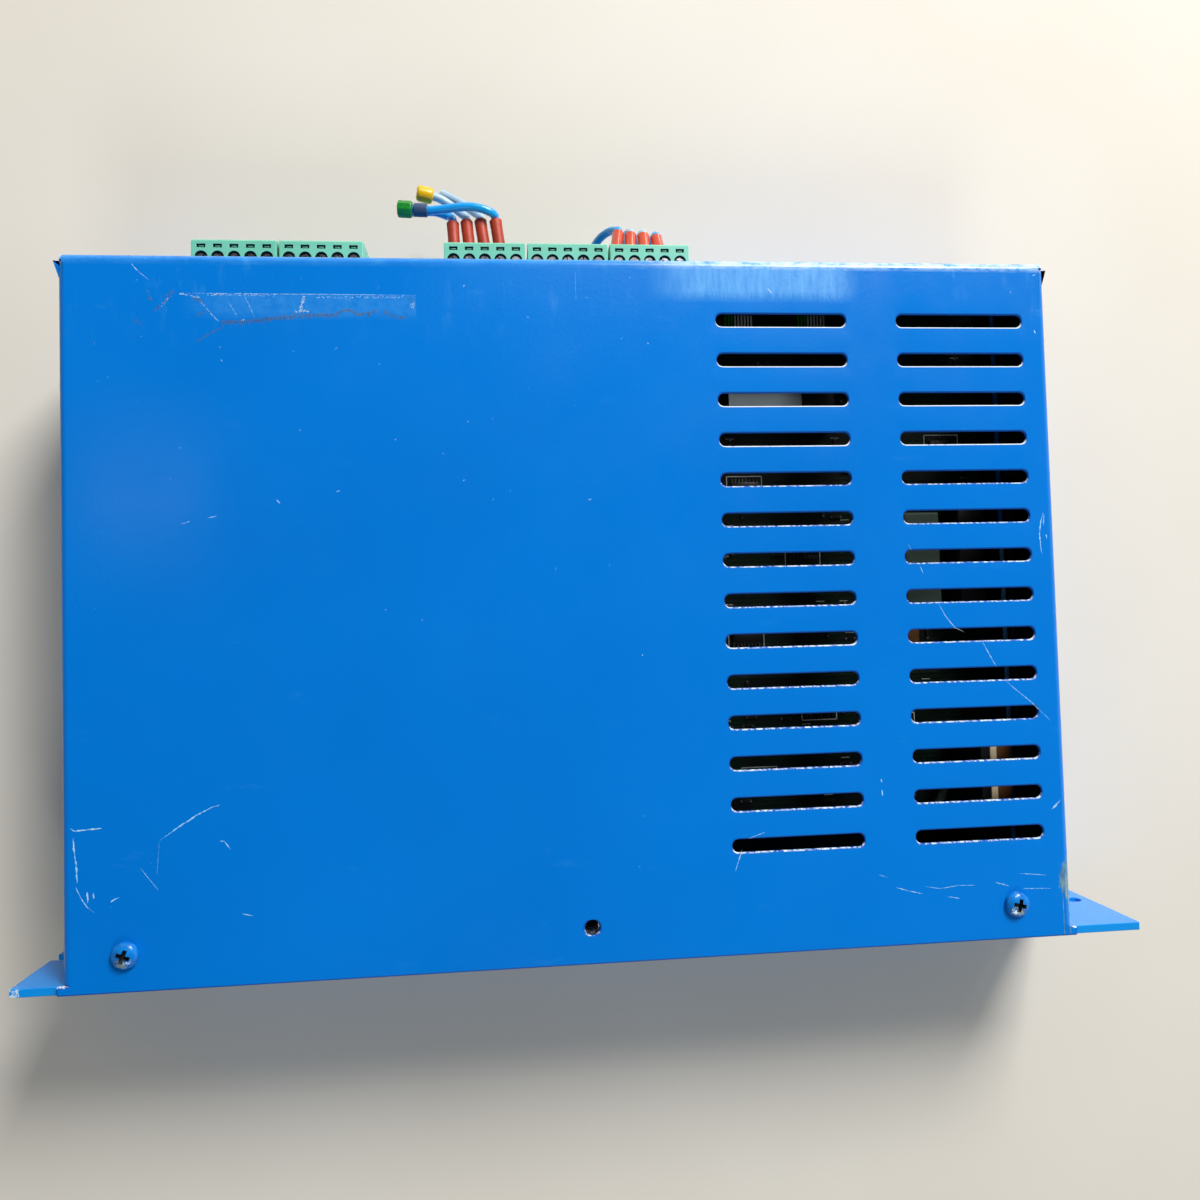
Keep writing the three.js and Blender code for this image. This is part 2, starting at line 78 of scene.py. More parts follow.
FACE_SCREW_X = {"left": 16.8, "middle": 152.1, "right": 286.5}
FACE_SCREW_Y = -204.0
FACE_SCREW_TURN = {"left": 68, "right": 75}
END_SCREW_Y = {"front": -30.0, "rear": -185.0}
END_SCREW_Z = -49.0
CLEAR_RADIUS = 2.3

PLUG_CENTRES = (44.8, 72.0, 124.2, 151.4, 178.6)
PLUG_FRONT = 14.0
PLUG_TOP = -18.3
PLUG_WIDTH = 26.4
PLUG_HEIGHT = 15.0
PLUG_BODY = 10.5
PIN_DROP = 9
OPENING_GAP = 0.6
TONGUE_LENGTH = 8.0
POLE_OFFSETS = [(pole - 2) * 5.08 for pole in range(5)]
WIRE_ENTRY = -27.8
WIRE_DIAMETER = 2.8
BOARD_TOP = -33.9
FLOOR_Z = 0.0

CAMERA_PLACE = (129.2, -115.3, 289.6)
CAMERA_AHEAD = Vector((0.09587, 0.03569, -0.99475))
CAMERA_RIGHT = Vector((0.99510, -0.02753, 0.09492))
CAMERA_LENS = 28.5


def at(x, y, z=0.0):
    """Case coordinates to the row frame, in metres."""
    return ORIGIN + Vector((x, y, z)) * MM


def x_at(x):
    return at(x, 0).x


def y_at(y):
    return at(0, y).y


def z_at(z):
    return at(0, 0, z).z


def new_object(name, data):
    """An object of this data, linked to the scene."""
    obj = bpy.data.objects.new(name, data)
    bpy.context.scene.collection.objects.link(obj)
    return obj


# ---- Camera, light and floor ---------------------------------------------------------------
def make_camera():
    data = bpy.data.cameras.new("camera")
    data.lens = CAMERA_LENS
    data.sensor_width = 36.0
    data.clip_start = 0.01
    camera = new_object("camera", data)
    back = -CAMERA_AHEAD.normalized()
    right = (CAMERA_RIGHT - back * CAMERA_RIGHT.dot(back)).normalized()
    up = back.cross(right)
    turn = Matrix((right, up, back)).transposed().to_4x4()
    camera.matrix_world = Matrix.Translation(at(*CAMERA_PLACE)) @ turn
    bpy.context.scene.camera = camera


def area_light(name, place, aim, size, power, colour=(1, 1, 1)):
    data = bpy.data.lights.new(name, "AREA")
    data.shape = "RECTANGLE"
    data.size, data.size_y = size
    data.energy = power
    data.color = colour
    light = new_object(name, data)
    light.location = place
    light.rotation_euler = (Vector(aim) - Vector(place)).to_track_quat("-Z", "Y").to_euler()


def make_light():
    """A window beyond the terminal side, four faint lamps that the face and the plugs mirror,
    a fill, and a sky that darkens upward and towards the left."""
    centre = (0.0, 0.0, 0.05)
    area_light("window", (0.60, 1.10, 1.06), centre, (0.50, 0.60), 29, (1.0, 0.98, 0.95))
    area_light("lamp_left", (-0.48, 0.18, 1.0), (-0.13, 0.03, 0.06), (0.12, 0.06), 0.035)
    area_light("lamp_middle", (0.35, 0.484, 1.1), (0.055, 0.094, 0.06), (0.22, 0.035), 0.03)
    area_light("lamp_front", (0.45, 1.15, 0.22), (0.02, 0.12, 0.03), (0.10, 0.40), 1.2)
    area_light("lamp_plugs", (0.07, 0.56, 1.1), (0.0, 0.11, 0.04), (0.30, 0.06), 0.09)
    area_light("fill", (0.05, -1.3, 1.15), centre, (0.5, 0.5), 6, (0.92, 0.97, 1.0))
    world = bpy.data.worlds.new("studio")
    bpy.context.scene.world = world
    sky = Nodes(world, "Background", "Generated")
    toward = sky.add("ShaderNodeVectorMath", {0: sky.place, 1: (0.85, 0.53, 0.0)},
                     operation="DOT_PRODUCT").outputs["Value"]
    sky.set(Color=(0.95, 0.97, 1.0, 1),
            Strength=sky.times(sky.ramp(sky.axis(2), 0.35, 0.8, 0.66, 0.06),
                               sky.ramp(toward, -0.6, 0.3, 0.22, 1.0)))
    bpy.context.scene.view_settings.view_transform = "Standard"


# ---- Materials -----------------------------------------------------------------------------
class Nodes:
    """A small wrapper that adds and links the shader nodes of a material or a world."""

    def __init__(self, owner, shader="Principled BSDF", place="Object"):
        if isinstance(owner, str):
            owner = bpy.data.materials.new(owner)
        self.owner = owner
        self.owner.use_nodes = True
        self.tree = self.owner.node_tree
        self.shader = self.tree.nodes[shader]
        self.place = self.add("ShaderNodeTexCoord").outputs[place]

    def fill(self, socket, value):
        """Links an output, or sets a plain value."""
        if isinstance(value, bpy.types.NodeSocket):
            self.tree.links.new(value, socket)
        else:
            socket.default_value = value

    def add(self, kind, inputs=(), **settings):
        node = self.tree.nodes.new(kind)
        for key, value in settings.items():
            setattr(node, key, value)
        for key, value in dict(inputs).items():
            self.fill(node.inputs[key], value)
        return node

    def noise(self, scale, detail=3.0, rough=0.55, stretch=None, offset=(0, 0, 0)):
        place = self.place
        if stretch or any(offset):
            place = self.add("ShaderNodeMapping", {
                "Scale": stretch or (1, 1, 1), "Location": offset, "Vector": place}
            ).outputs["Vector"]
        return self.add("ShaderNodeTexNoise", {"Scale": scale, "Detail": detail,
                                               "Roughness": rough, "Vector": place}
                        ).outputs["Fac"]

    def ramp(self, value, low, high, to_low=0.0, to_high=1.0):
        return self.add("ShaderNodeMapRange", {
            "Value": value, "From Min": low, "From Max": high, "To Min": to_low,
            "To Max": to_high}).outputs["Result"]

    def maths(self, operation, a, b=0.0):
        return self.add("ShaderNodeMath", {0: a, 1: b}, operation=operation).outputs[0]

    def times(self, first, *others):
        for other in others:
            first = self.maths("MULTIPLY", first, other)
        return first

    def mix(self, share, a, b):
        return self.add("ShaderNodeMix", {0: share, 6: a, 7: b}, data_type="RGBA").outputs[2]

    def axis(self, index):
        return self.add("ShaderNodeSeparateXYZ", {0: self.place}).outputs[index]

    def distance(self, place, point):
        return self.add("ShaderNodeVectorMath", {0: place, 1: point},
                        operation="DISTANCE").outputs["Value"]

    def bump(self, height, distance, strength=1.0):
        return self.add("ShaderNodeBump", {"Strength": strength, "Distance": distance,
                                           "Height": height}).outputs["Normal"]

    def set(self, **values):
        """Shader inputs by name, with _ for a space."""
        for key, value in values.items():
            self.fill(self.shader.inputs[key.replace("_", " ")], value)
        return self.owner


def rgb(red, green, blue):
    """sRGB bytes to a linear colour."""
    def linear(value):
        value = value / 255
        return value / 12.92 if value <= 0.04045 else ((value + 0.055) / 1.055) ** 2.4
    return (linear(red), linear(green), linear(blue), 1.0)


def band_mask(nodes, axis, start, full):
    """1 past full and 0 before start, along one axis in metres."""
    return nodes.ramp(nodes.axis(axis), start, full)


PAINT = (rgb(0, 119, 216), rgb(0, 126, 225))
# The mounting plate: the same blue coat in a lighter tone, as painted light on its flanges.
PLATE_PAINT_LIT = (rgb(14, 142, 232), rgb(20, 150, 238))
UNLIT = rgb(7, 10, 15)


def inside_of(nodes, low, high, skin):
    """1 deeper than a skin, in millimetres, inside a box and 0 outside; None is no edge."""
    masks = []
    for index in range(3):
        value = nodes.axis(index)
        for edge, grow in ((low[index], 1), (high[index], -1)):
            if edge is not None:
                start = edge + grow * skin * MM
                masks.append(nodes.ramp(value, start, start + grow * 0.1 * MM))
    return nodes.times(*masks)


def powder_coat(nodes, tones):
    """Colour, roughness and orange peel of the semi-gloss coat."""
    colour = nodes.mix(nodes.ramp(nodes.noise(9, 2), 0.3, 0.7), *tones)
    rough = nodes.ramp(nodes.noise(45, 4), 0.3, 0.7, 0.15, 0.23)
    return colour, rough, nodes.bump(nodes.noise(900, 2), 0.00008, 0.35)


def blue_paint(name, tones, low=None, high=None, bare=None):
    """Powder coat with a few specks; inside a box the colour is painted shade in near black, with
    a painted highlight along the wall's top lip, and the paint is chipped round a bare spot."""
    nodes = Nodes(name)
    colour, rough, peel = powder_coat(nodes, tones)
    specks = nodes.ramp(nodes.noise(420, 2, offset=(2.1, 0.7, 0)), 0.76, 0.80)
    colour = nodes.mix(nodes.times(specks, 0.4), colour, rgb(110, 180, 240))
    if low:
        # Painted shade: the inside of the box, deeper than a skin, in near black.
        painted_inside_shade = inside_of(nodes, low, high, 0.6)
        colour = nodes.mix(painted_inside_shade, colour, UNLIT)
        # Painted highlight: the pan wall's top lip, towards the rear, in a pale blue.
        crest = nodes.ramp(nodes.axis(2), high.z - 0.0004, high.z - 0.0001)
        crest = nodes.times(crest, nodes.ramp(nodes.axis(1), y_at(-76),
                                                          y_at(-90)))
        colour = nodes.mix(crest, colour, rgb(120, 206, 255))
        rough = nodes.maths("ADD", rough, nodes.times(painted_inside_shade, 0.5))
    if bare:
        near = nodes.ramp(nodes.distance(nodes.place, bare), 0.007, 0.0, 0.0, 0.45)
        worn = nodes.ramp(nodes.maths("ADD", near, nodes.noise(620, 5, 0.7)), 0.78, 0.84)
        colour = nodes.mix(worn, colour, rgb(206, 228, 246))
    return nodes.set(Base_Color=colour, Roughness=rough, Normal=peel)


def worn_paint():
    """The cover's paint: scuffed near the front edge and ghosted where a label was torn off, with
    painted sheen, glare and window glow near the front edge and painted shade on the inside.
    """
    nodes = Nodes("blue_paint_worn")
    colour, rough, peel = powder_coat(nodes, PAINT)
    front_y = y_at(CASE_FRONT)
    on_face = band_mask(nodes, 2, z_at(-3.6), z_at(-2.2))
    near_front = nodes.times(on_face,
                             band_mask(nodes, 1, front_y - 0.030, front_y - 0.002))
    streaks = nodes.ramp(nodes.noise(240, 5, 0.65, (1.0, 0.35, 1.0)), 0.54, 0.80)
    patches = nodes.ramp(nodes.noise(26, 3, offset=(0.3, 0.1, 0)), 0.42, 0.66)
    scuffs = nodes.times(streaks, patches, near_front)
    specks = nodes.ramp(nodes.noise(520, 2, offset=(1.7, 0.4, 0)), 0.79, 0.83)
    wisps = nodes.ramp(nodes.noise(70, 6, 0.75, (0.5, 1.6, 1.0), (0.8, 0, 0)), 0.62, 0.80)
    ghost = nodes.times(label_ghost(nodes),
                        nodes.ramp(nodes.noise(330, 4, 0.7), 0.35, 0.75, 0.15, 0.55))
    scuffs_and_sheen = nodes.maths("ADD", nodes.times(scuffs, 0.5),
                       nodes.times(specks, 0.6))
    # The front bend: a paler, broken band that is painted sheen, mixed with real rubbing marks.
    on_bend = nodes.times(on_face,
                          band_mask(nodes, 1, front_y - 0.0036, front_y - 0.0012))
    bend_sheen_and_rubbing = nodes.ramp(nodes.noise(160, 5, 0.7, (0.5, 1.6, 1.0)), 0.36, 0.70, 0.10, 0.55)
    scuffs_and_sheen = nodes.maths("ADD", scuffs_and_sheen, nodes.times(on_bend, bend_sheen_and_rubbing))
    front_wisps = nodes.ramp(near_front, 0.0, 0.6, 0.10, 0.34)
    scuffs_and_sheen = nodes.maths("ADD", scuffs_and_sheen, nodes.times(wisps, front_wisps))
    scuffs_and_sheen = nodes.maths("MAXIMUM", scuffs_and_sheen, nodes.times(ghost, 0.5))
    # Painted window glow: a streaky pale patch on the face near the front right.
    painted_window_glow = nodes.ramp(nodes.noise(420, 4, 0.6, (1.8, 0.3, 1.0)), 0.3, 0.7, 0.28, 0.7)
    painted_window_glow = nodes.times(painted_window_glow, on_face)
    for value, outer, inner in ((nodes.axis(0), x_at(174), x_at(190)),
                                (nodes.axis(0), x_at(243), x_at(233)),
                                (nodes.axis(1), y_at(-12.5), y_at(-8.5))):
        painted_window_glow = nodes.times(painted_window_glow, nodes.ramp(value, outer, inner))
    scuffs_and_sheen = nodes.maths("MAXIMUM", scuffs_and_sheen, painted_window_glow)
    # Scuffs, specks and the label ghost in a paler blue, together with the painted sheen and
    # glow.
    colour = nodes.mix(scuffs_and_sheen, colour, rgb(92, 184, 250))
    # Painted reflection of the window along the right part of the front bend.
    to_right = nodes.ramp(nodes.axis(0), x_at(168), x_at(196))
    glare = nodes.ramp(nodes.noise(210, 5, 0.75, (0.8, 1.6, 1.0)), 0.38, 0.56)
    glare = nodes.times(glare, on_bend, to_right)
    colour = nodes.mix(glare, colour, rgb(196, 226, 250))
    chips = chip_mask(nodes)
    bare = nodes.mix(nodes.ramp(nodes.noise(800, 4, 0.7, (1.6, 0.5, 1)), 0.38, 0.62),
                     rgb(60, 138, 204), rgb(158, 196, 206))
    colour = nodes.mix(chips, colour, bare)
    # Painted shade: the underside and inside of the cover in near black, leaving the end tabs
    # out.
    low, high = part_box("vented_cover")
    painted_inside_shade = inside_of(nodes, (low.x, None, None), (high.x, high.y, high.z), 2.4)
    painted_inside_shade = nodes.maths("MAXIMUM", painted_inside_shade, nodes.ramp(nodes.axis(2), high.z - 0.00085,
                                                       high.z - 0.00095))
    painted_inside_shade = nodes.times(painted_inside_shade, inside_of(
        nodes, (low.x + TAB_REACH * MM, None, None), (high.x - TAB_REACH * MM, high.y, None),
        0.6))
    colour = nodes.mix(painted_inside_shade, colour, UNLIT)
    rough = nodes.maths("ADD", rough, nodes.times(scuffs_and_sheen, 0.3))
    metallic = nodes.times(chips, 0.4)
    return nodes.set(Base_Color=colour, Roughness=rough, Normal=peel, Metallic=metallic)


def label_ghost(nodes):
    """1 inside the torn-off label's outline."""
    x, y = nodes.axis(0), nodes.axis(1)
    low, high = at(34, -18.6), at(103.5, -10.6)
    return nodes.times(*[nodes.ramp(value, edge, edge + fade) for value, edge, fade in (
        (x, low.x, 0.012), (y, low.y, 0.003), (x, high.x, -0.0004), (y, high.y, -0.0002))])


def lip_paint():
    """Paint on the sheet's cut edges, thin: a darker blue as painted shade, with a ragged
    pale-blue painted highlight on the edges that face the terminal side.
    """
    nodes = Nodes("blue_paint_edges")
    normal = nodes.add("ShaderNodeSeparateXYZ",
                       {0: nodes.add("ShaderNodeNewGeometry").outputs["Normal"]})
    toward_front = nodes.ramp(normal.outputs["Y"], 0.10, 0.45)
    up_the_face = nodes.ramp(nodes.axis(1), y_at(-70), y_at(-48), 0.0, 0.24)
    rag = nodes.maths("ADD", nodes.noise(760, 4, 0.7), up_the_face)
    on_face = band_mask(nodes, 2, z_at(-2.0), z_at(-1.4))
    toward_front = nodes.times(toward_front, on_face)
    # Painted highlight where an edge faces the window, ragged and fuller on the rows near the
    # terminal side.
    lip_highlight = nodes.times(nodes.ramp(rag, 0.44, 0.58), toward_front)
    colour = nodes.mix(lip_highlight, rgb(0, 92, 190), rgb(226, 242, 255))
    rough = nodes.ramp(lip_highlight, 0, 1, 0.5, 0.42)
    return nodes.set(Base_Color=colour, Roughness=rough, Specular_IOR_Level=0.2,
                     Normal=nodes.bump(lip_highlight, 0.00005, 0.5))


def chip_mask(nodes):
    """Bare metal along the right end's bend near the mounting plate."""
    edge = x_at(CASE_RIGHT)
    along_x, along_y = nodes.axis(0), nodes.axis(1)
    rag = nodes.noise(900, 5, 0.68)
    centre = y_at(-197)
    away = nodes.maths("ABSOLUTE", nodes.maths("SUBTRACT", along_y, centre))
    near_patch = nodes.ramp(away, 0.001, 0.0115, 1.0, 0.0)
    near_edge = nodes.ramp(along_x, edge - 0.0066, edge - 0.0012)
    reach = nodes.times(near_edge, near_patch)
    patch = nodes.ramp(nodes.maths("ADD", reach, nodes.noise(520, 6, 0.8, (1.8, 0.6, 1))), 0.96,
                       1.02)
    lines = patch
    for inset, width in ((0.0009, 0.0004), (0.0030, 0.0003)):
        off = nodes.maths("ABSOLUTE", nodes.maths("SUBTRACT", along_x, edge - inset))
        crest = nodes.ramp(off, 0.0, width, 1.0, 0.0)
        behind = nodes.ramp(along_y, y_at(-196), y_at(-199))
        line = nodes.maths("ADD", nodes.times(crest, behind), rag)
        lines = nodes.maths("MAXIMUM", lines, nodes.ramp(line, 1.08, 1.16))
    return nodes.times(lines,
                       band_mask(nodes, 2, z_at(-7.5), z_at(-5.5)))


def moulded(name, colour, dark, roughness=0.42, grain=1400, strength=0.12, coat=0.0):
    """Moulded or extruded plastic: a slight tone change and a fine grain."""
    nodes = Nodes(name)
    tone = nodes.ramp(nodes.noise(60, 3), 0.3, 0.7)
    fine = nodes.bump(nodes.noise(grain, 2), 0.00005, strength)
    rough = nodes.ramp(nodes.noise(180, 3), 0.3, 0.7, roughness - 0.06, roughness + 0.06)
    return nodes.set(Base_Color=nodes.mix(tone, dark, colour), Roughness=rough, Normal=fine,
                     Coat_Weight=coat)


def plated(name, colour, dark, roughness=0.28, metallic=1.0):
    """Plated or bare metal with faint brushing and dull spots."""
    nodes = Nodes(name)
    brush = nodes.noise(700, 4, 0.6, (1.0, 0.12, 1.0))
    tone = nodes.ramp(nodes.noise(120, 4), 0.35, 0.7)
    rough = nodes.ramp(brush, 0.3, 0.7, roughness - 0.07, roughness + 0.12)
    return nodes.set(Base_Color=nodes.mix(tone, dark, colour), Roughness=rough,
                     Normal=nodes.bump(brush, 0.00003, 0.3), Metallic=metallic)


def painted_screw():
    """Blue paint, chipped to zinc round the recess and towards the plate."""
    nodes = Nodes("painted_screw")
    within = nodes.add("ShaderNodeTexCoord").outputs["Generated"]
    near = nodes.ramp(nodes.distance(within, (0.42, 0.26, 1.0)), 0.42, 0.08)
    rag = nodes.noise(1100, 4, 0.62)
    chips = nodes.ramp(nodes.maths("ADD", nodes.times(near, 0.42), rag), 0.74, 0.80)
    tone = nodes.ramp(nodes.noise(300, 3), 0.3, 0.7)
    paint = nodes.mix(tone, rgb(4, 104, 190), rgb(14, 134, 224))
    colour = nodes.mix(chips, paint, rgb(176, 200, 210))
    return nodes.set(Base_Color=colour, Metallic=nodes.times(chips, 0.7),
                     Normal=nodes.bump(rag, 0.00012, 0.5),
                     Roughness=nodes.ramp(chips, 0, 1, 0.2, 0.34))


def board_green():
    """Solder mask with copper tracks showing through as lighter lines."""
    nodes = Nodes("solder_mask")
    brick = nodes.add("ShaderNodeTexBrick", {
        "Scale": 160, "Mortar Size": 0.06, "Color1": (0, 0, 0, 1),
        "Color2": (0.15, 0.15, 0.15, 1), "Mortar": (1, 1, 1, 1), "Vector": nodes.place})
    gate = nodes.ramp(nodes.noise(35, 2), 0.45, 0.55)
    track = nodes.times(brick.outputs["Color"], gate)
    colour = nodes.mix(track, rgb(4, 20, 14), rgb(10, 40, 24))
    return nodes.set(Base_Color=colour, Roughness=0.32, Coat_Weight=0.3,
                     Normal=nodes.bump(track, 0.00006, 0.5))


def layered(name, bands, scale, distortion, dark, light, depth, strength, rough, metallic):
    """Fine ridges one way across: stacked core sheets, or varnished windings."""
    nodes = Nodes(name)
    wave = nodes.add("ShaderNodeTexWave", {"Scale": scale, "Distortion": distortion,
                                           "Vector": nodes.place}, bands_direction=bands)
    fac = wave.outputs["Fac"]
    return nodes.set(Base_Color=nodes.mix(fac, dark, light), Roughness=rough,
                     Metallic=metallic, Normal=nodes.bump(fac, depth, strength))


def clear_glass():
    nodes = Nodes("fuse_glass")
    rough = nodes.ramp(nodes.noise(200, 2), 0.3, 0.7, 0.02, 0.08)
    return nodes.set(Base_Color=rgb(225, 232, 232), Roughness=rough, Transmission_Weight=0.9)


def pale_floor():
    nodes = Nodes("floor")
    tone = nodes.ramp(nodes.noise(6, 3), 0.3, 0.7)
    colour = nodes.mix(tone, rgb(226, 220, 208), rgb(232, 227, 216))
    return nodes.set(Base_Color=colour, Roughness=0.75)


def plate_corner():
    """The left flange's rear top corner, worn to a pale primer."""
    low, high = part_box("mounting_plate")
    return (low.x, low.y, high.z)


# Look: material, its two tones, then the rest of what plated() or moulded() takes
PLATED = {
    "zinc": ("zinc", (205, 208, 210), (150, 154, 156)),
    "tin": ("tinned", (214, 214, 208), (170, 170, 166), 0.22),
    "copper": ("copper", (222, 142, 96), (176, 96, 58), 0.3),
    "aluminium": ("aluminium", (196, 199, 202), (160, 163, 166), 0.34),
}
MOULDED = {
    "green": ("terminal_green", (132, 218, 186), (116, 206, 172), 0.40),
    # Painted shade: dark green inside the plugs' wells, slots and funnels and the headers'
    # mouths.
    "pocket_shade": ("pocket_green", (8, 58, 44), (4, 40, 30), 0.6),
    "recess": ("recess_shadow", (6, 16, 30), (2, 8, 16), 0.6),
    "slot_bar": ("slot_bar", (84, 168, 138), (66, 146, 118), 0.5),
    "sleeve_3": ("sleeve_dull", (196, 64, 34), (150, 42, 22), 0.5, 700, 0.3),
    "sleeve_5": ("sleeve_glossy", (228, 82, 42), (200, 62, 30), 0.2, 700, 0.2, 0.6),
    "blue_wire": ("wire_blue", (0, 172, 246), (0, 150, 232), 0.3, 600, 0.15, 0.3),
    "grey_wire": ("wire_grey", (178, 208, 230), (150, 184, 210), 0.3, 600, 0.15),
    "green_mark": ("marker_green", (24, 160, 48), (10, 124, 30), 0.3, 700, 0.2, 0.3),
    "yellow_mark": ("marker_yellow", (246, 200, 14), (226, 170, 4), 0.32, 700, 0.2),
    "grey_mark": ("marker_grey", (72, 96, 132), (54, 76, 108), 0.36, 700, 0.2),
    "black": ("black_plastic", (24, 25, 28), (16, 17, 19), 0.38),
    # A white sticker given a grey blue, as painted shade inside the case.
    "label": ("paper_label", (178, 196, 204), (160, 178, 188), 0.6, 2400, 0.2),
    "grey_block": ("grey_block", (96, 116, 104), (76, 94, 84), 0.5),
    "brown_block": ("brown_block", (140, 92, 52), (112, 68, 34), 0.45),
    # Cream, lightened close to white as painted light where light falls through a vent onto the
    # strip.
    "cream": ("insulating_paper", (255, 240, 208), (255, 228, 180), 0.65),
    "white": ("white_print", (228, 234, 230), (190, 196, 192), 0.6),
    "scratch": ("scratched_paint", (206, 236, 255), (132, 202, 250), 0.45),
    "residue": ("glue_residue", (104, 112, 124), (70, 92, 128), 0.8, 900, 0.8),
    "paper": ("torn_paper", (206, 226, 242), (140, 190, 232), 0.8, 900, 0.6),
}
# The material of each look, made by make_materials()
MATERIALS = {}


def make_materials():
    MATERIALS.update(
        cover=worn_paint(), lip=lip_paint(), screw=painted_screw(), board=board_green(),
        glass=clear_glass(),
        core=layered("core_steel", "Y", 320, 0.3, rgb(52, 46, 42), rgb(104, 96, 90), 0.0001,
                     0.6, 0.5, 0.5),
        winding=layered("winding", "Z", 420, 0.0, rgb(92, 38, 14), rgb(188, 98, 44), 0.0002,
                        0.7, 0.35, 0.6),
        plate=blue_paint("blue_paint_plate", PLATE_PAINT_LIT, bare=plate_corner()),
        pan=blue_paint("blue_paint_pan", PAINT, *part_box("base_pan")))
    for shade, table in ((plated, PLATED), (moulded, MOULDED)):
        for look, (name, colour, dark, *rest) in table.items():
            MATERIALS[look] = shade(name, rgb(*colour), rgb(*dark), *rest)


# ---- Mesh tools ----------------------------------------------------------------------------
def piece(name, bm, look, body="case", replaces=(), sharp=35):
    """Turns a bmesh in the row frame into a piece that rides on a body."""
    bmesh.ops.recalc_face_normals(bm, faces=bm.faces)
    data = bpy.data.meshes.new(name)
    bm.to_mesh(data)
    bm.free()
    data.materials.append(MATERIALS[look])
    data.shade_smooth()
    data.set_sharp_from_angle(angle=math.radians(sharp))
    obj = new_object(name, data)
    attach(obj, body)
    if replaces:
        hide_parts(*replaces)
    return obj


def soften(obj, width, segments=3, angle=35):
    """Rounds the sharp edges and keeps the flat faces flat."""
    bevel = obj.modifiers.new("rounded_edges", "BEVEL")
    bevel.width = width * MM
    bevel.segments = segments
    bevel.limit_method = "ANGLE"
    bevel.angle_limit = math.radians(angle)
    bevel.miter_outer = "MITER_ARC"
    obj.data.shade_smooth()
    obj.modifiers.new("weighted_normals", "WEIGHTED_NORMAL").keep_sharp = True
    return obj


def add_box(bm, low, high, bevel=0.0, segments=2):
    """A box between two corners in case coordinates, with rounded edges."""
    low, high = at(*low), at(*high)
    made = bmesh.ops.create_cube(bm, size=1)["verts"]
    for vert in made:
        share = vert.co + Vector((0.5, 0.5, 0.5))
        vert.co = Vector(low[i] + (high[i] - low[i]) * share[i] for i in range(3))
    if bevel:
        edges = list({edge for vert in made for edge in vert.link_edges})
        bmesh.ops.bevel(bm, geom=edges, offset=bevel * MM, segments=segments,
                        profile=0.5, affect="EDGES")


def add_block(bm, x, y, half_x, half_y, z0, z1, bevel=0.0, segments=2):
    """A box centred on x and y."""
    add_box(bm, (x - half_x, y - half_y, z0), (x + half_x, y + half_y, z1), bevel, segments)


def lean_to(axis):
    """The turn that takes z to an axis."""
    return UP.rotation_difference(Vector(axis).normalized())


def add_circle(bm, centre, turn, radius, height, sides, spin=0.0):
    """Vertices of a circle at a height along a turned axis."""
    ring = []
    for side in range(sides):
        angle = 2 * math.pi * (side + spin) / sides
        spot = Vector((radius * math.cos(angle), radius * math.sin(angle), height)) * MM
        ring.append(bm.verts.new(at(*centre) + turn @ spot))
    return ring


def bridge(bm, lower, upper):
    """Faces between two loops of the same length."""
    for i in range(len(lower)):
        j = (i + 1) % len(lower)
        bm.faces.new((lower[i], lower[j], upper[j], upper[i]))


def close_stack(bm, loops):
    """A closed solid of stacked loops."""
    bm.faces.new(loops[0])
    bm.faces.new(loops[-1])
    for lower, upper in zip(loops, loops[1:]):
        bridge(bm, lower, upper)


def add_turned(bm, centre, axis, profile, sides=32):
    """A closed solid of revolution; the profile is (radius, height) from axis to axis."""
    turn = lean_to(axis)
    rings = []
    for radius, height in profile:
        if radius == 0:
            rings.append([bm.verts.new(at(*centre) + turn @ Vector((0, 0, height * MM)))])
        else:
            rings.append(add_circle(bm, centre, turn, radius, height, sides))
    for lower, upper in zip(rings, rings[1:]):
        for side in range(sides):
            after = (side + 1) % sides
            corners = [lower[side % len(lower)], lower[after % len(lower)],
                       upper[after % len(upper)], upper[side % len(upper)]]
            bm.faces.new(list(dict.fromkeys(corners)))


def ring_profile(outer, inner, length, edge):
    """Closed profile of a tube with rounded outer ends, for add_ring."""
    return [(inner, 0), (outer - edge, 0), (outer - 0.3 * edge, 0.3 * edge), (outer, edge),
            (outer, length - edge), (outer - 0.3 * edge, length - 0.3 * edge),
            (outer - edge, length), (inner, length)]


def add_ring(bm, start, end, profile, sides=32, spin=0.0):
    """A tube from start to end; profile is a closed loop of (radius, height)."""
    turn = lean_to(Vector(end) - Vector(start))
    loops = [add_circle(bm, start, turn, radius, height, sides, spin)
             for radius, height in profile]
    for here, there in zip(loops, loops[1:] + loops[:1]):
        bridge(bm, here, there)


def cut_with(obj, cutter_bm, lining):
    """Cuts a bmesh away from a piece, gives the cut a look and applies the result."""
    data = bpy.data.meshes.new("cutter")
    data.materials.append(MATERIALS[lining])
    bmesh.ops.recalc_face_normals(cutter_bm, faces=cutter_bm.faces)
    cutter_bm.to_mesh(data)
    cutter_bm.free()
    cutter = new_object("cutter", data)
    change = obj.modifiers.new("cut", "BOOLEAN")
    change.operation = "DIFFERENCE"
    change.solver = "EXACT"
    change.use_self = True
    change.material_mode = "TRANSFER"
    change.object = cutter
    bpy.context.view_layer.update()
    seen = obj.evaluated_get(bpy.context.evaluated_depsgraph_get())
    result = bpy.data.meshes.new_from_object(seen)
    obj.modifiers.clear()
    obj.data = result
    bpy.data.objects.remove(cutter)


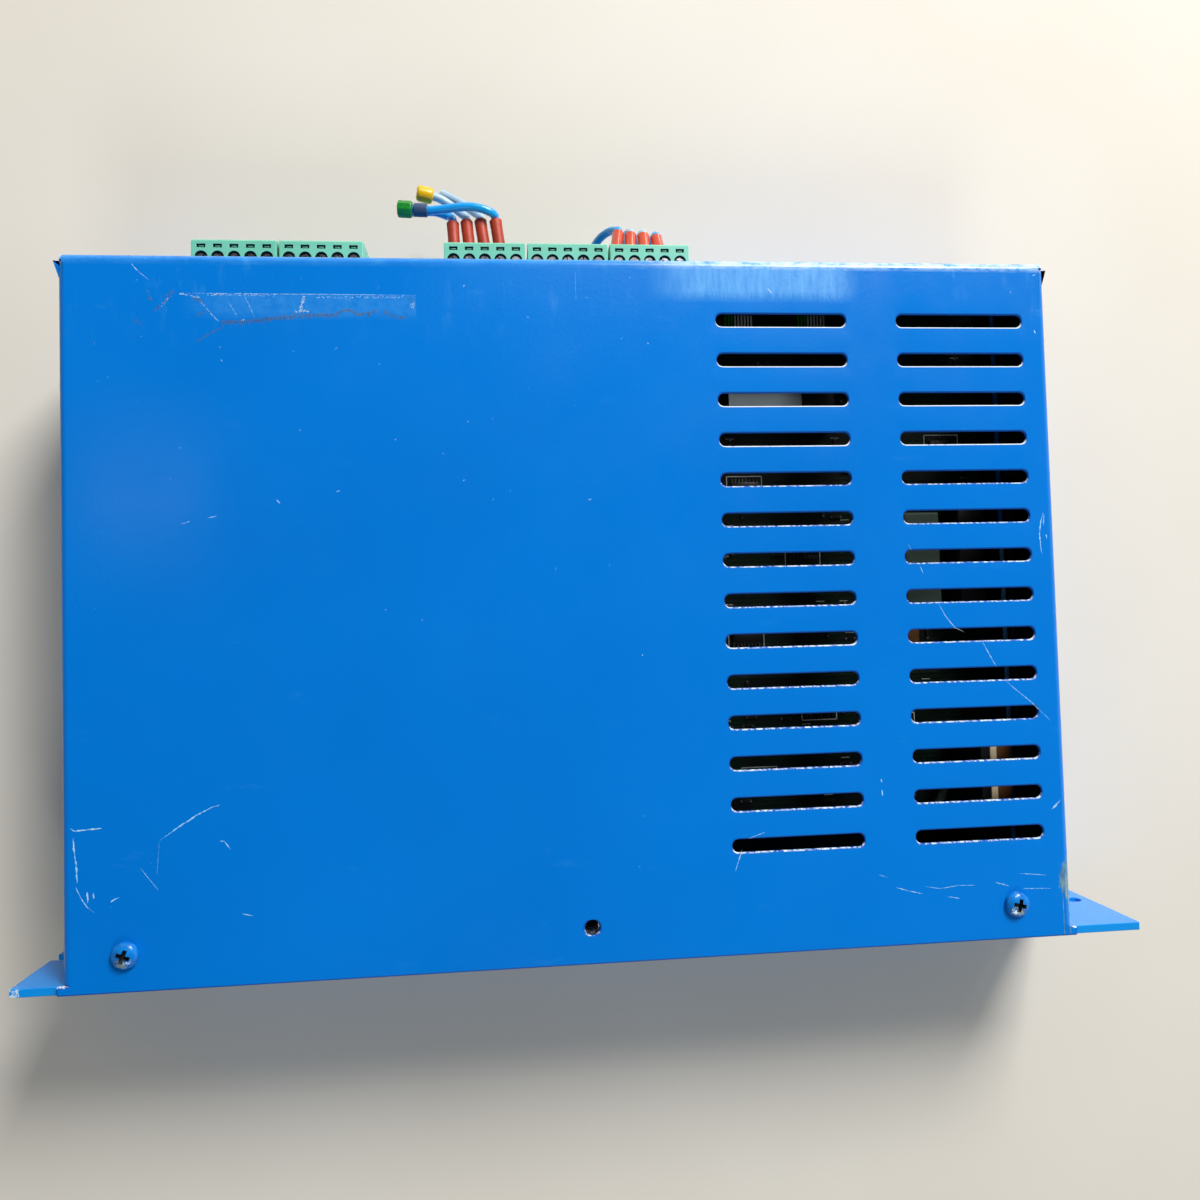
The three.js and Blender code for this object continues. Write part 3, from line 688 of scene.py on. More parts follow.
def refined(node, name, look, width):
    """The CAD solid with merged flat faces and rounded edges."""
    bm = bmesh.new()
    bm.from_mesh(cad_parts[node].data)
    bmesh.ops.remove_doubles(bm, verts=bm.verts, dist=1e-6)
    bmesh.ops.dissolve_limit(bm, angle_limit=math.radians(1), verts=bm.verts, edges=bm.edges)
    soften(piece(name, bm, look, replaces=(node,)), width, 2)


# ---- The folded cover ----------------------------------------------------------------------
def folded(past):
    """Distance along the sheet past a bend line to (distance out, height from the face)."""
    if past <= 0:
        return past, 0.0
    if past <= BEND_LENGTH:
        angle = past / BEND_RADIUS
        return BEND_RADIUS * math.sin(angle), BEND_RADIUS * (math.cos(angle) - 1)
    return BEND_RADIUS, -BEND_RADIUS - (past - BEND_LENGTH)


def sheet_depth(level):
    """Distance along the sheet past a bend line at a height below the face."""
    return BEND_LENGTH - level - BEND_RADIUS


def bend_lines(levels):
    """Sheet distances past a bend line: the bend's own steps, then flap lines at depths."""
    steps = [BEND_LENGTH * step / BEND_STEPS for step in range(BEND_STEPS + 1)]
    return steps + [sheet_depth(level) for level in levels]


def circle_outline(centre, radius, count=32):
    return [(centre[0] + radius * math.cos(2 * math.pi * i / count),
             centre[1] + radius * math.sin(2 * math.pi * i / count)) for i in range(count)]


def obround_outline(centre, half, radius, count=12):
    points = []
    for side, start in ((1, -math.pi / 2), (-1, math.pi / 2)):
        for i in range(count + 1):
            angle = start + math.pi * i / count
            points.append((centre[0] + side * half + radius * math.cos(angle),
                           centre[1] + radius * math.sin(angle)))
    return points


def add_grid(bm, us, vs, place, holes=(), skip=()):
    """A sheet of cells on the lines us and vs; an outline whose centre lies in a cell is a
    hole in it, and a cell listed in skip is left open. place maps (u, v) to the row frame."""
    made = {}

    def vert(u, v):
        key = (round(u, 4), round(v, 4))
        if key not in made:
            made[key] = bm.verts.new(place(u, v))
        return made[key]

    for u0, u1 in zip(us, us[1:]):
        for v0, v1 in zip(vs, vs[1:]):
            middle = ((u0 + u1) / 2, (v0 + v1) / 2)
            if any(a < middle[0] < b and c < middle[1] < d for a, b, c, d in skip):
                continue
            corners = [vert(u0, v0), vert(u1, v0), vert(u1, v1), vert(u0, v1)]
            inside = [h for h in holes if u0 < sum(p[0] for p in h) / len(h) < u1
                      and v0 < sum(p[1] for p in h) / len(h) < v1]
            if not inside:
                bm.faces.new(corners)
                continue
            edges = []
            for loop in [corners] + [[bm.verts.new(place(*p)) for p in h] for h in inside]:
                for first, second in zip(loop, loop[1:] + loop[:1]):
                    edges.append(bm.edges.get((first, second)) or bm.edges.new((first, second)))
            bmesh.ops.triangle_fill(bm, use_beauty=True, edges=edges)


def vent_outlines():
    return [obround_outline((x, VENT_FIRST - row * VENT_PITCH), VENT_HALF, VENT_RADIUS)
            for x in VENT_COLUMNS for row in range(VENT_ROWS)]


def make_cover():
    """One sheet folded down at the terminal side and at both ends."""
    left, right = CASE_LEFT + BEND_RADIUS, CASE_RIGHT - BEND_RADIUS
    front = CASE_FRONT - BEND_RADIUS
    reach = PLUG_WIDTH / 2 + OPENING_GAP
    openings = [(PLUG_CENTRES[a] - reach, PLUG_CENTRES[b] + reach) for a, b in ((0, 1), (2, 4))]
    us = sorted([left, right, 240.0, 252.6, 298.6]
                + [edge for opening in openings for edge in opening])
    first_row = VENT_FIRST + VENT_PITCH / 2
    vs = sorted([TAB_LINE, front] + [first_row - i * VENT_PITCH for i in range(VENT_ROWS + 1)])
    bm = bmesh.new()
    screws = [circle_outline((x, FACE_SCREW_Y), CLEAR_RADIUS) for x in FACE_SCREW_X.values()]
    add_grid(bm, us, vs, lambda u, v: at(u, v), vent_outlines() + screws)
    add_grid(bm, [CASE_LEFT - TAB_REACH] + us + [CASE_RIGHT + TAB_REACH],
             [CASE_BACK, TAB_LINE], lambda u, v: at(u, v))

    top, bottom = PLUG_TOP + OPENING_GAP, PLUG_TOP - PLUG_HEIGHT - OPENING_GAP

    def on_front(u, v):
        out, drop = folded(v - front)
        return at(u, front + out, drop)

    front_vs = [front + line for line in bend_lines([top, bottom, FLAP_BOTTOM])]
    skip = [(*opening, front + sheet_depth(top), front + sheet_depth(bottom))
            for opening in openings]
    add_grid(bm, [CASE_LEFT + CORNER_RELIEF] + us + [CASE_RIGHT - CORNER_RELIEF], front_vs,
             on_front, skip=skip)

    for start, side in ((left, -1), (right, 1)):
        def on_end(u, v):
            out, drop = folded(u)
            return at(start + side * out, v, drop)

        lines = bend_lines([END_SCREW_Z + 5, END_SCREW_Z - 5, FLAP_BOTTOM])
        holes = [circle_outline((sheet_depth(END_SCREW_Z), y), CLEAR_RADIUS)
                 for y in END_SCREW_Y.values()]
        add_grid(bm, lines, vs, on_end, holes)

    bmesh.ops.remove_doubles(bm, verts=bm.verts, dist=1e-6)
    cover = piece("folded_cover", bm, "cover", replaces=("vented_cover",), sharp=60)
    cover.data.materials.append(MATERIALS["lip"])
    face_up(cover.data)
    sheet = cover.modifiers.new("sheet", "SOLIDIFY")
    sheet.thickness = COVER_SHEET * MM
    sheet.offset = -1
    sheet.material_offset_rim = 1
    soften(cover, LIP_ROUNDING, 3, 40)
    cover.modifiers["rounded_edges"].material = 1
    cover.modifiers["rounded_edges"].use_clamp_overlap = False


def face_up(data):
    """Makes the flat face's normals point up, and the rest of the sheet with it."""
    largest = max(data.polygons, key=lambda polygon: polygon.area)
    if largest.normal.z < 0:
        data.flip_normals()


# ---- Screws and nuts -----------------------------------------------------------------------
HEAD_RADIUS = 3.9
HEAD_HEIGHT = 2.6
RECESS_WEB = 0.64
RECESS_ARM = 2.2
RECESS_DEPTH = 1.7
THREAD_PITCH = 0.7


def screw_profile(length, radius=2.0, head=HEAD_RADIUS, height=HEAD_HEIGHT):
    """Domed pan head over a plain shank."""
    dome = [(head * math.cos(a), 0.7 + (height - 0.7) * math.sin(a))
            for a in [math.pi / 2 * i / 8 for i in range(8)]]
    return [(0, -length), (radius - 0.4, -length), (radius, -length + 0.5), (radius, 0),
            (head - 0.15, 0), (head, 0.15)] + dome + [(0, height)]


def cross_cutter(centre, axis, top, depth, arm, turn_deg):
    """Tapered cross that cuts a screw's recess."""
    bm = bmesh.new()
    spin = Matrix.Rotation(math.radians(turn_deg), 3, "Z")
    lean = UP.rotation_difference(Vector(axis))
    for first, second in ((arm, RECESS_WEB), (RECESS_WEB, arm)):
        loops = []
        for height, scale in ((top - depth, 0.5), (top + 1, 1.3)):
            corners = [(-first, -second), (first, -second), (first, second), (-first, second)]
            loops.append([bm.verts.new(at(*centre) + (lean @ (spin @ Vector(
                (x * scale, y * scale, height)))) * MM) for x, y in corners])
        close_stack(bm, loops)
    return bm


def make_screw(name, node, centre, axis, length, turn_deg):
    bm = bmesh.new()
    add_turned(bm, centre, axis, screw_profile(length), 48)
    screw = piece(name, bm, "screw", replaces=(node,))
    cut_with(screw, cross_cutter(centre, axis, HEAD_HEIGHT, RECESS_DEPTH, RECESS_ARM, turn_deg),
             "recess")
    soften(screw, 0.12, 2, 45)


def make_fasteners():
    for side, turn in FACE_SCREW_TURN.items():
        make_screw(f"cover_screw_{side}", f"face_screw_{side}",
                   (FACE_SCREW_X[side], FACE_SCREW_Y, 0.1), UP, 8, turn)
    for side, x, axis in (("left", CASE_LEFT - 0.1, (-1, 0, 0)),
                          ("right", CASE_RIGHT + 0.1, (1, 0, 0))):
        for index, (end, y) in enumerate(END_SCREW_Y.items()):
            make_screw(f"flap_screw_{side}_{end}", f"end_screw_{side}_{end}",
                       (x, y, END_SCREW_Z), axis, 5, 20 + 35 * index)
    for side, x in FACE_SCREW_X.items():
        make_nut(side, x)


def make_nut(side, x):
    """Clinched nut with a threaded bore."""
    low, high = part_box(f"face_nut_{side}")
    length = (high.z - low.z) / MM
    base = (low.z - ORIGIN.z) / MM
    bore = []
    for turn in range(int(length / THREAD_PITCH), 0, -1):
        bore += [(2.28, turn * THREAD_PITCH), (2.06, turn * THREAD_PITCH - THREAD_PITCH / 2)]
    profile = [(2.3, 0), (3.0, 0), (3.0, 3.5), (4.4, 3.5), (4.5, 3.6), (4.5, 4.5), (3.0, 4.5),
               (3.0, length), (2.3, length)] + bore
    bm = bmesh.new()
    add_ring(bm, (x, FACE_SCREW_Y, base), (x, FACE_SCREW_Y, base + length), profile, 40)
    piece(f"clinch_nut_{side}", bm, "zinc", replaces=(f"face_nut_{side}",), sharp=25)


# ---- Terminal plugs and headers ------------------------------------------------------------
def prism(bm, outline, x0, x1):
    """Outline in y and z, drawn from x0 to x1."""
    close_stack(bm, [[bm.verts.new(at(x, y, z)) for y, z in outline] for x in (x0, x1)])


def plug_outline():
    """Side view of a plug's body: a stepped front, a thumb ledge below and a sloped back."""
    front = PLUG_FRONT
    back = front - PLUG_BODY
    top = PLUG_TOP
    low = top - PLUG_HEIGHT
    return [(back, top), (front - 0.8, top), (front - 0.8, top - 0.9), (front, top - 1.3),
            (front, low + 1.2), (front - 0.7, low), (back + 0.4, low), (back, low + 0.4)]


def plug_cutters(x_middle):
    """Screw wells, probe slots, wire funnels and contact sockets of one plug."""
    bm = bmesh.new()
    back = PLUG_FRONT - PLUG_BODY - TONGUE_LENGTH
    pin_z = PLUG_TOP - PIN_DROP
    for offset in POLE_OFFSETS:
        x = x_middle + offset
        add_turned(bm, (x, PLUG_FRONT - 6.1, PLUG_TOP - 5.2), (0, 0, 1),
                   [(0, 0), (1.75, 0), (1.75, 4.5), (1.95, 4.9), (1.95, 6.2), (0, 6.2)], 28)
        add_box(bm, (x - 1.3, PLUG_FRONT - 3.05, PLUG_TOP - 1.1),
                (x + 1.3, PLUG_FRONT - 1.95, PLUG_TOP + 1))
        add_turned(bm, (x, PLUG_FRONT - 3.6, WIRE_ENTRY), (0, 1, 0),
                   [(0, 0), (1.9, 0), (1.95, 2.4), (2.25, 3.6), (2.25, 5), (0, 5)], 28)
        add_box(bm, (x - 0.9, back - 1, pin_z - 0.9), (x + 0.9, back + 6.5, pin_z + 0.9))
    return bm


def make_plug(index, x_middle):
    half = PLUG_WIDTH / 2
    bm = bmesh.new()
    prism(bm, plug_outline(), x_middle - half, x_middle + half)
    add_box(bm, (x_middle - 11.9, PLUG_FRONT - PLUG_BODY - TONGUE_LENGTH, PLUG_TOP - 13.6),
            (x_middle + 11.9, PLUG_FRONT - PLUG_BODY + 0.02, PLUG_TOP - 4.4))
    plug = piece(f"plug_housing_{index}", bm, "green", f"plug_{index}",
                 (f"terminal_plug_{index}",))
    # The cut faces are painted shade in dark green.
    cut_with(plug, plug_cutters(x_middle), "pocket_shade")
    soften(plug, 0.16, 2, 50)
    make_clamps(index, x_middle)


def make_clamps(index, x_middle):
    """Slotted clamp screws, the cages in the wire funnels, and the bars in the probe slots."""
    random.seed(50 + index)
    body = f"plug_{index}"
    screws, cages, floors, bars = (bmesh.new() for _ in range(4))
    for offset in POLE_OFFSETS:
        x = x_middle + offset
        add_slotted_screw(screws, (x, PLUG_FRONT - 6.1, PLUG_TOP - 2.9), random.uniform(0, 180))
        add_box(cages, (x - 1.7, PLUG_FRONT - 3.58, WIRE_ENTRY - 1.7),
                (x + 1.7, PLUG_FRONT - 3.3, WIRE_ENTRY + 1.7), 0.08)
        add_box(floors, (x - 1.25, PLUG_FRONT - 3.0, PLUG_TOP - 1.09),
                (x + 1.25, PLUG_FRONT - 2.0, PLUG_TOP - 0.75), 0.05)
        add_box(bars, (x - 0.8, PLUG_FRONT - 2.8, PLUG_TOP - 0.78),
                (x + 0.8, PLUG_FRONT - 2.35, PLUG_TOP - 0.3), 0.08)
    piece(f"clamp_screws_{index}", screws, "zinc", body)
    piece(f"clamp_cages_{index}", cages, "tin", body)
    # The slot floors are painted shade in dark green.
    piece(f"probe_slot_floors_{index}", floors, "pocket_shade", body)
    piece(f"probe_slot_bars_{index}", bars, "slot_bar", body)


def add_slotted_screw(bm, centre, turn_deg):
    """Cheese head whose top is two half discs with a slot between them."""
    radius, height, slot = 1.62, 2.2, 0.28
    steps = 14
    limit = math.asin(slot / radius)
    spin = Matrix.Rotation(math.radians(turn_deg), 3, "Z")
    add_turned(bm, centre, (0, 0, 1), [(0, 0), (radius, 0), (radius, height - 0.7),
                                       (0, height - 0.7)], 28)
    for side in (0, math.pi):
        arc = [side + limit + (math.pi - 2 * limit) * i / steps for i in range(steps + 1)]
        flat = [Vector((radius * math.cos(a), radius * math.sin(a), 0)) for a in arc]
        inset = [point * 0.9 for point in flat]
        layers = ((flat, height - 0.69), (flat, height - 0.15), (inset, height))
        loops = [[bm.verts.new(at(*centre) + (spin @ (p + Vector((0, 0, z)))) * MM)
                  for p in points] for points, z in layers]
        close_stack(bm, loops)


def make_header(index, x_middle):
    """Socket soldered to the board, with five square pins."""
    half = PLUG_WIDTH / 2
    mouth = PLUG_FRONT - PLUG_BODY - 0.3
    floor = mouth - TONGUE_LENGTH - 0.6
    low, high = BOARD_TOP + 0.3, PLUG_TOP - 3.1
    bm = bmesh.new()
    add_box(bm, (x_middle - half, floor - 2.6, low), (x_middle + half, mouth, high))
    header = piece(f"header_{index}", bm, "green", replaces=(f"board_header_{index}",))
    cutter = bmesh.new()
    add_box(cutter, (x_middle - 12.2, floor, PLUG_TOP - 13.9),
            (x_middle + 12.2, mouth + 1, PLUG_TOP - 4.1))
    # The socket's inside is painted shade in dark green.
    cut_with(header, cutter, "pocket_shade")
    soften(header, 0.15, 2, 50)
    pins = bmesh.new()
    for offset in POLE_OFFSETS:
        x, z = x_middle + offset, PLUG_TOP - PIN_DROP
        add_box(pins, (x - 0.5, floor - 0.5, z - 0.5), (x + 0.5, floor + 6, z + 0.5), 0.15)
    piece(f"header_pins_{index}", pins, "tin")


# ---- Wires, sleeves and markers ------------------------------------------------------------
def mix(start, end, share):
    return tuple(a + (b - a) * share for a, b in zip(start, end))


def curve_through(points, per_span=8):
    """Smooth line through points, with even tangents."""
    line = [Vector(p) for p in points]
    line = [2 * line[0] - line[1]] + line + [2 * line[-1] - line[-2]]
    out = []
    for a, b, c, d in zip(line, line[1:], line[2:], line[3:]):
        for step in range(per_span):
            t = step / per_span
            out.append(0.5 * (2 * b + (c - a) * t + (2 * a - 5 * b + 4 * c - d) * t * t
                              + (3 * b - a - 3 * c + d) * t ** 3))
    return out + [line[-2]]


# Name: plug, pole, sleeve tip, free points and colour. The points repeat the CAD's route.
WIRES = {
    "3a": (3, 1, (113.5, 24.8, -29.8),
           [(111.8, 28, -31.6), (107.5, 29.6, -32.2), (102.5, 29.4, -32), (97, 28.8, -31.6)],
           "blue"),
    "3b": (3, 2, (118.1, 25.4, -30),
           [(116.4, 28.8, -31.4), (112.9, 31.9, -32.2), (108.4, 34.3, -31.6),
            (102, 35.3, -30.6)], "grey"),
    "3c": (3, 3, (122.8, 25.9, -30.2),
           [(120.9, 29.6, -32.4), (117.2, 33.2, -34.6), (113.2, 36.1, -36),
            (109.4, 38.2, -37)], "grey"),
    "3d": (3, 4, (127.9, 25.4, -28.6),
           [(127.2, 26.9, -27), (125.2, 27.7, -26.2), (121.8, 28.5, -25.8),
            (117.7, 28.7, -25.8), (110, 27.8, -26), (105.2, 27.4, -26.1),
            (97.2, 27.8, -26.3)], "blue"),
    "5a": (5, 1, (170, 22.9, -32),
           [(169.6, 24.9, -34.2), (167.8, 25.9, -37.2), (165.4, 25.6, -40.6),
            (163.3, 24.3, -44.6), (162, 22.4, -49.6), (161.4, 20.6, -54.8)], "blue"),
    "5b": (5, 2, (174.3, 22.3, -32),
           [(174.2, 24.2, -34.3), (173.6, 24.9, -38), (172.8, 24.2, -43),
            (172.2, 23.1, -49), (171.8, 22.4, -55)], "grey"),
    "5c": (5, 3, (178.7, 22.1, -32),
           [(178.8, 23.9, -34.3), (178.6, 24.5, -38), (178.2, 24, -43),
            (177.8, 23.1, -49), (177.5, 22.5, -55)], "grey"),
    "5d": (5, 4, (183.2, 21.5, -32),
           [(183.3, 23.3, -34.3), (183.2, 24, -38), (182.9, 23.6, -43),
            (182.6, 22.8, -49), (182.4, 22.3, -55)], "blue"),
}
# Name: wire, start, end, outer and inner radius, sides, edge rounding
MARKERS = {
    "grey": ("3d", (105.4, 27.4, -26.1), (101, 27.56, -26.2), 2.2, 1.5, 32, 0.2),
    "green": ("3d", (100.6, 27.6, -26.2), (95.6, 27.88, -26.3), 2.8, 1.5, 9, 0.7),
    "yellow": ("3b", (107, 34.56, -31.4), (101.6, 35.38, -30.5), 2.6, 1.5, 32, 0.9),
}


def make_marker(name):
    wire, start, end, outer, inner, sides, edge = MARKERS[name]
    length = (Vector(end) - Vector(start)).length
    bm = bmesh.new()
    add_ring(bm, start, end, ring_profile(outer, inner, length, edge), sides, 0.4)
    marker = piece(f"slip_marker_{name}", bm, f"{name}_mark", f"plug_{wire[0]}",
                   (f"marker_{name}",), 50)
    return soften(marker, 0.18, 2, 30)


def make_sleeve(name, base, tip, plug):
    """Shrunk sleeve: a slightly waisted tube over the wire's end."""
    length = (Vector(tip) - Vector(base)).length
    outer, inner = 2.1, 1.5
    profile = [(inner, 0), (outer - 0.25, 0), (outer, 0.25)]
    for step in range(1, 8):
        share = step / 8
        profile.append((outer - 0.12 * math.sin(math.pi * share), length * share))
    profile += [(outer, length - 0.25), (outer - 0.25, length), (inner, length)]
    bm = bmesh.new()
    add_ring(bm, base, tip, profile, 32)
    return piece(f"end_sleeve_{name}", bm, f"sleeve_{plug}", f"plug_{plug}",
                 (f"sleeve_{name}",))


def make_wire_end(name, line, body):
    """Cut copper strands just inside the insulation's end."""
    end = line[-1]
    ahead = (line[-1] - line[-2]).normalized()
    bm = bmesh.new()
    side = ahead.orthogonal().normalized()
    for strand in range(7):
        turn = Matrix.Rotation(strand * math.pi / 3, 3, ahead)
        shift = turn @ side * 0.5 if strand < 6 else Vector((0, 0, 0))
        start = end - ahead * 0.5 + shift
        add_turned(bm, start, ahead, [(0, 0), (0.25, 0), (0.25, 0.7), (0, 0.75)], 8)
    return piece(f"copper_end_{name}", bm, "copper", body)


def make_wires():
    """Each wire is a cord riding on its plug, cut off bare, with its sleeve and markers on it."""
    markers = {name: make_marker(name) for name in MARKERS}
    for name, (plug, pole, tip, free, colour) in WIRES.items():
        body = f"plug_{plug}"
        pole_x = PLUG_CENTRES[plug - 1] + POLE_OFFSETS[pole - 1]
        base = (pole_x, PLUG_FRONT + 0.3, WIRE_ENTRY)
        points = [mix(base, tip, share) for share in (-0.1, 0.35, 0.8, 1.12)] + free
        line = curve_through(points)
        data = bpy.data.curves.new(f"cut_wire_{name}", "CURVE")
        data.dimensions = "3D"
        data.bevel_depth = WIRE_DIAMETER / 2 * MM
        data.bevel_resolution = 6
        data.use_fill_caps = True
        spline = data.splines.new("POLY")
        spline.points.add(len(line) - 1)
        for spot, point in zip(spline.points, line):
            spot.co = (*at(*point), 1)
        data.materials.append(MATERIALS[f"{colour}_wire"])
        wire = new_object(f"cut_wire_{name}", data)
        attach(wire, body)
        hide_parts(f"wire_{name}")
        on_it = [make_sleeve(name, base, tip, plug), make_wire_end(name, line, body)]
        on_it += [markers[m] for m in MARKERS if MARKERS[m][0] == name]


# ---- Board and what stands on it -----------------------------------------------------------
ROOMY_SPOTS = 12


def scatter_clear(spots, x, y, gap):
    return all(abs(x - a) > gap[0] or abs(y - b) > gap[1] for a, b in spots)


def make_small_parts():
    """Surface-mounted chips, resistors and capacitors, and the white print round them."""
    random.seed(11)
    chips, legs, parts, ends, print_lines, tracks = (bmesh.new() for _ in range(6))
    top = BOARD_TOP
    spots = []
    taken = [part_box(node) for node in (
        "transformer", "bulk_capacitor_1", "bulk_capacitor_2", "rectifier_bridge",
        "filter_capacitor_1", "filter_capacitor_2", "firmware_chip", "output_relay",
        "mains_fuse", *[f"board_header_{i}" for i in range(1, 6)],
        *[f"board_screw_{i}" for i in range(1, 5)])]

    def free(x, y, reach):
        spot = at(x, y)
        pad = reach * MM
        return not any(low.x - pad < spot.x < high.x + pad and low.y - pad < spot.y < high.y + pad
                       for low, high in taken)

    for x, y in ((212, -66), (232, -92), (211, -118), (236, -143),
                 (214, -167), (262, -30), (284, -52), (264, -150), (100, -60), (60, -80)):
        if not free(x, y, 6):
            continue
        spots.append((x, y))
        add_block(chips, x, y, 5, 1.9, top + 0.2, top + 1.9, 0.15)
        for i in range(8):
            leg = x - 4.45 + 1.27 * i
            for side in (-1, 1):
                add_block(legs, leg, y + side * 2.6, 0.2, 0.7, top + 0.02, top + 0.5)
        add_frame(print_lines, x, y, 6.2, 4.2, top)
    for _ in range(520):
        x, y = random.uniform(10, 294), random.uniform(-178, -12)
        if not (free(x, y, 3) and scatter_clear(spots, x, y, (3.4, 3.0))):
            continue
        if any(abs(x - a) < 8.5 and abs(y - b) < 6 for a, b in spots[:ROOMY_SPOTS]):
            continue
        spots.append((x, y))
        add_small_part(parts, ends, print_lines, x, y, top)
    for x0 in (207.2, 233.4):
        for i in range(9):
            x = x0 + 1.15 * i
            add_box(print_lines if i > 2 else tracks, (x - 0.28, -9.4, top + 0.02),
                    (x + 0.28, -5.0, top + 0.3))
    piece("edge_fingers", tracks, "green_mark")
    piece("surface_chips", chips, "black")
    piece("chip_legs", legs, "tin")
    piece("surface_parts", parts, "black")
    piece("part_ends", ends, "tin")
    piece("board_print", print_lines, "white")


def add_small_part(parts, ends, print_lines, x, y, top):
    long, wide = (1.6, 0.8) if random.random() < 0.5 else (0.8, 1.6)
    add_box(parts, (x - long * 0.7, y - wide * 0.7, top + 0.02),
            (x + long * 0.7, y + wide * 0.7, top + 0.75), 0.06, 1)
    for side in (-1, 1):
        if long > wide:
            spot = (x + side * long, y)
        else:
            spot = (x, y + side * wide)
        add_box(ends, (spot[0] - 0.4, spot[1] - 0.4, top + 0.02),
                (spot[0] + 0.4, spot[1] + 0.4, top + 0.7))
    if random.random() < 0.5:
        add_box(print_lines, (x - 1.6, y + 1.9, top + 0.01), (x + 1.4, y + 2.15, top + 0.05))


def add_frame(bm, x, y, half_x, half_y, top):
    """White rectangle printed on the board."""
    line = 0.16
    for side in (-1, 1):
        add_block(bm, x, y + side * half_y, half_x, line, top + 0.01, top + 0.05)
        add_box(bm, (x + side * half_x - line, y - half_y, top + 0.01),
                (x + side * half_x + line, y + half_y, top + 0.05))


def local_box(node):
    """A CAD node's box in case coordinates."""
    low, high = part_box(node)
    return tuple((low - ORIGIN) / MM), tuple((high - ORIGIN) / MM)


def make_transformer():
    (x0, y0, z0), (x1, y1, z1) = local_box("transformer")
    core = bmesh.new()
    middle = (y0 + y1) / 2
    half = 11
    add_box(core, (x0, middle - half, z0), (x1, middle + half, z1), 0.4)
    piece("transformer_core", core, "core", replaces=("transformer",))
    coil = bmesh.new()
    inset = 12.5
    for side, edge in ((-1, y0), (1, y1)):
        near, far = sorted((middle + side * (half + 0.05), edge))
        add_box(coil, (x0 + inset, near, z0 + 4), (x1 - inset, far, z1 - 5), 2.4, 4)
    piece("transformer_coils", coil, "winding")
    flanges = bmesh.new()
    for z in (z0 + 2.6, z1 - 5):
        for side, edge in ((-1, y0), (1, y1)):
            near, far = sorted((middle + side * (half + 0.05), edge))
            add_box(flanges, (x0 + inset - 0.4, near, z), (x1 - inset + 0.4, far, z + 1.2), 0.2)
    piece("bobbin_flanges", flanges, "black")


def make_capacitor(index):
    """Snap-in can with a vented aluminium top in a shrunk sleeve."""
    (x0, y0, z0), (x1, y1, z1) = local_box(f"bulk_capacitor_{index}")
    centre = ((x0 + x1) / 2, (y0 + y1) / 2, z0)
    radius, height = (x1 - x0) / 2, z1 - z0
    can = bmesh.new()
    add_turned(can, centre, (0, 0, 1), [
        (0, 0), (radius - 1, 0), (radius, 1), (radius, 3), (radius - 0.7, 4), (radius, 5),
        (radius, height - 1.6), (radius - 0.5, height - 0.5), (radius - 1.8, height),
        (radius - 2.4, height - 0.35), (0, height - 0.35)], 56)
    piece(f"capacitor_sleeve_{index}", can, "black", replaces=(f"bulk_capacitor_{index}",))
    top = bmesh.new()
    add_turned(top, (centre[0], centre[1], z1 - 0.34), (0, 0, 1),
               [(0, 0), (radius - 2.6, 0), (radius - 2.8, 0.12), (0, 0.12)], 56)
    vent = bmesh.new()
    for first, second in ((radius - 5, 0.35), (0.35, radius - 5)):
        add_box(vent, (centre[0] - first, centre[1] - second, z1 - 0.24),
                (centre[0] + first, centre[1] + second, z1 - 0.12), 0.03)
    piece(f"capacitor_top_{index}", top, "aluminium")
    piece(f"capacitor_vent_{index}", vent, "zinc")


def make_chip():
    """Socketed chip with a blank paper label."""
    (x0, y0, z0), (x1, y1, z1) = local_box("firmware_chip")
    socket, chip, legs, label = (bmesh.new() for _ in range(4))
    add_box(socket, (x0, y0, z0), (x1, y1, z0 + 3.6), 0.2)
    add_box(chip, (x0 + 0.5, y0 + 0.8, z0 + 4.2), (x1 - 0.5, y1 - 0.8, z1 - 0.1), 0.25)
    for i in range(14):
        x = x0 + 2.5 + 2.54 * i
        for y, out in ((y0, 0.05), (y1 - 0.55, -0.05)):
            add_box(legs, (x - 0.25, y + out, z0 + 3.4), (x + 0.25, y + 0.5 + out, z0 + 6), 0.05)
    add_box(label, (x0 + 0.6, y0 + 2.2, z1 - 0.1), (x0 + 26, y1 - 2.2, z1 - 0.02))
    piece("chip_socket", socket, "black", replaces=("firmware_chip",))
    piece("chip_body", chip, "black")
    piece("chip_pins", legs, "tin")
    piece("chip_label", label, "label")


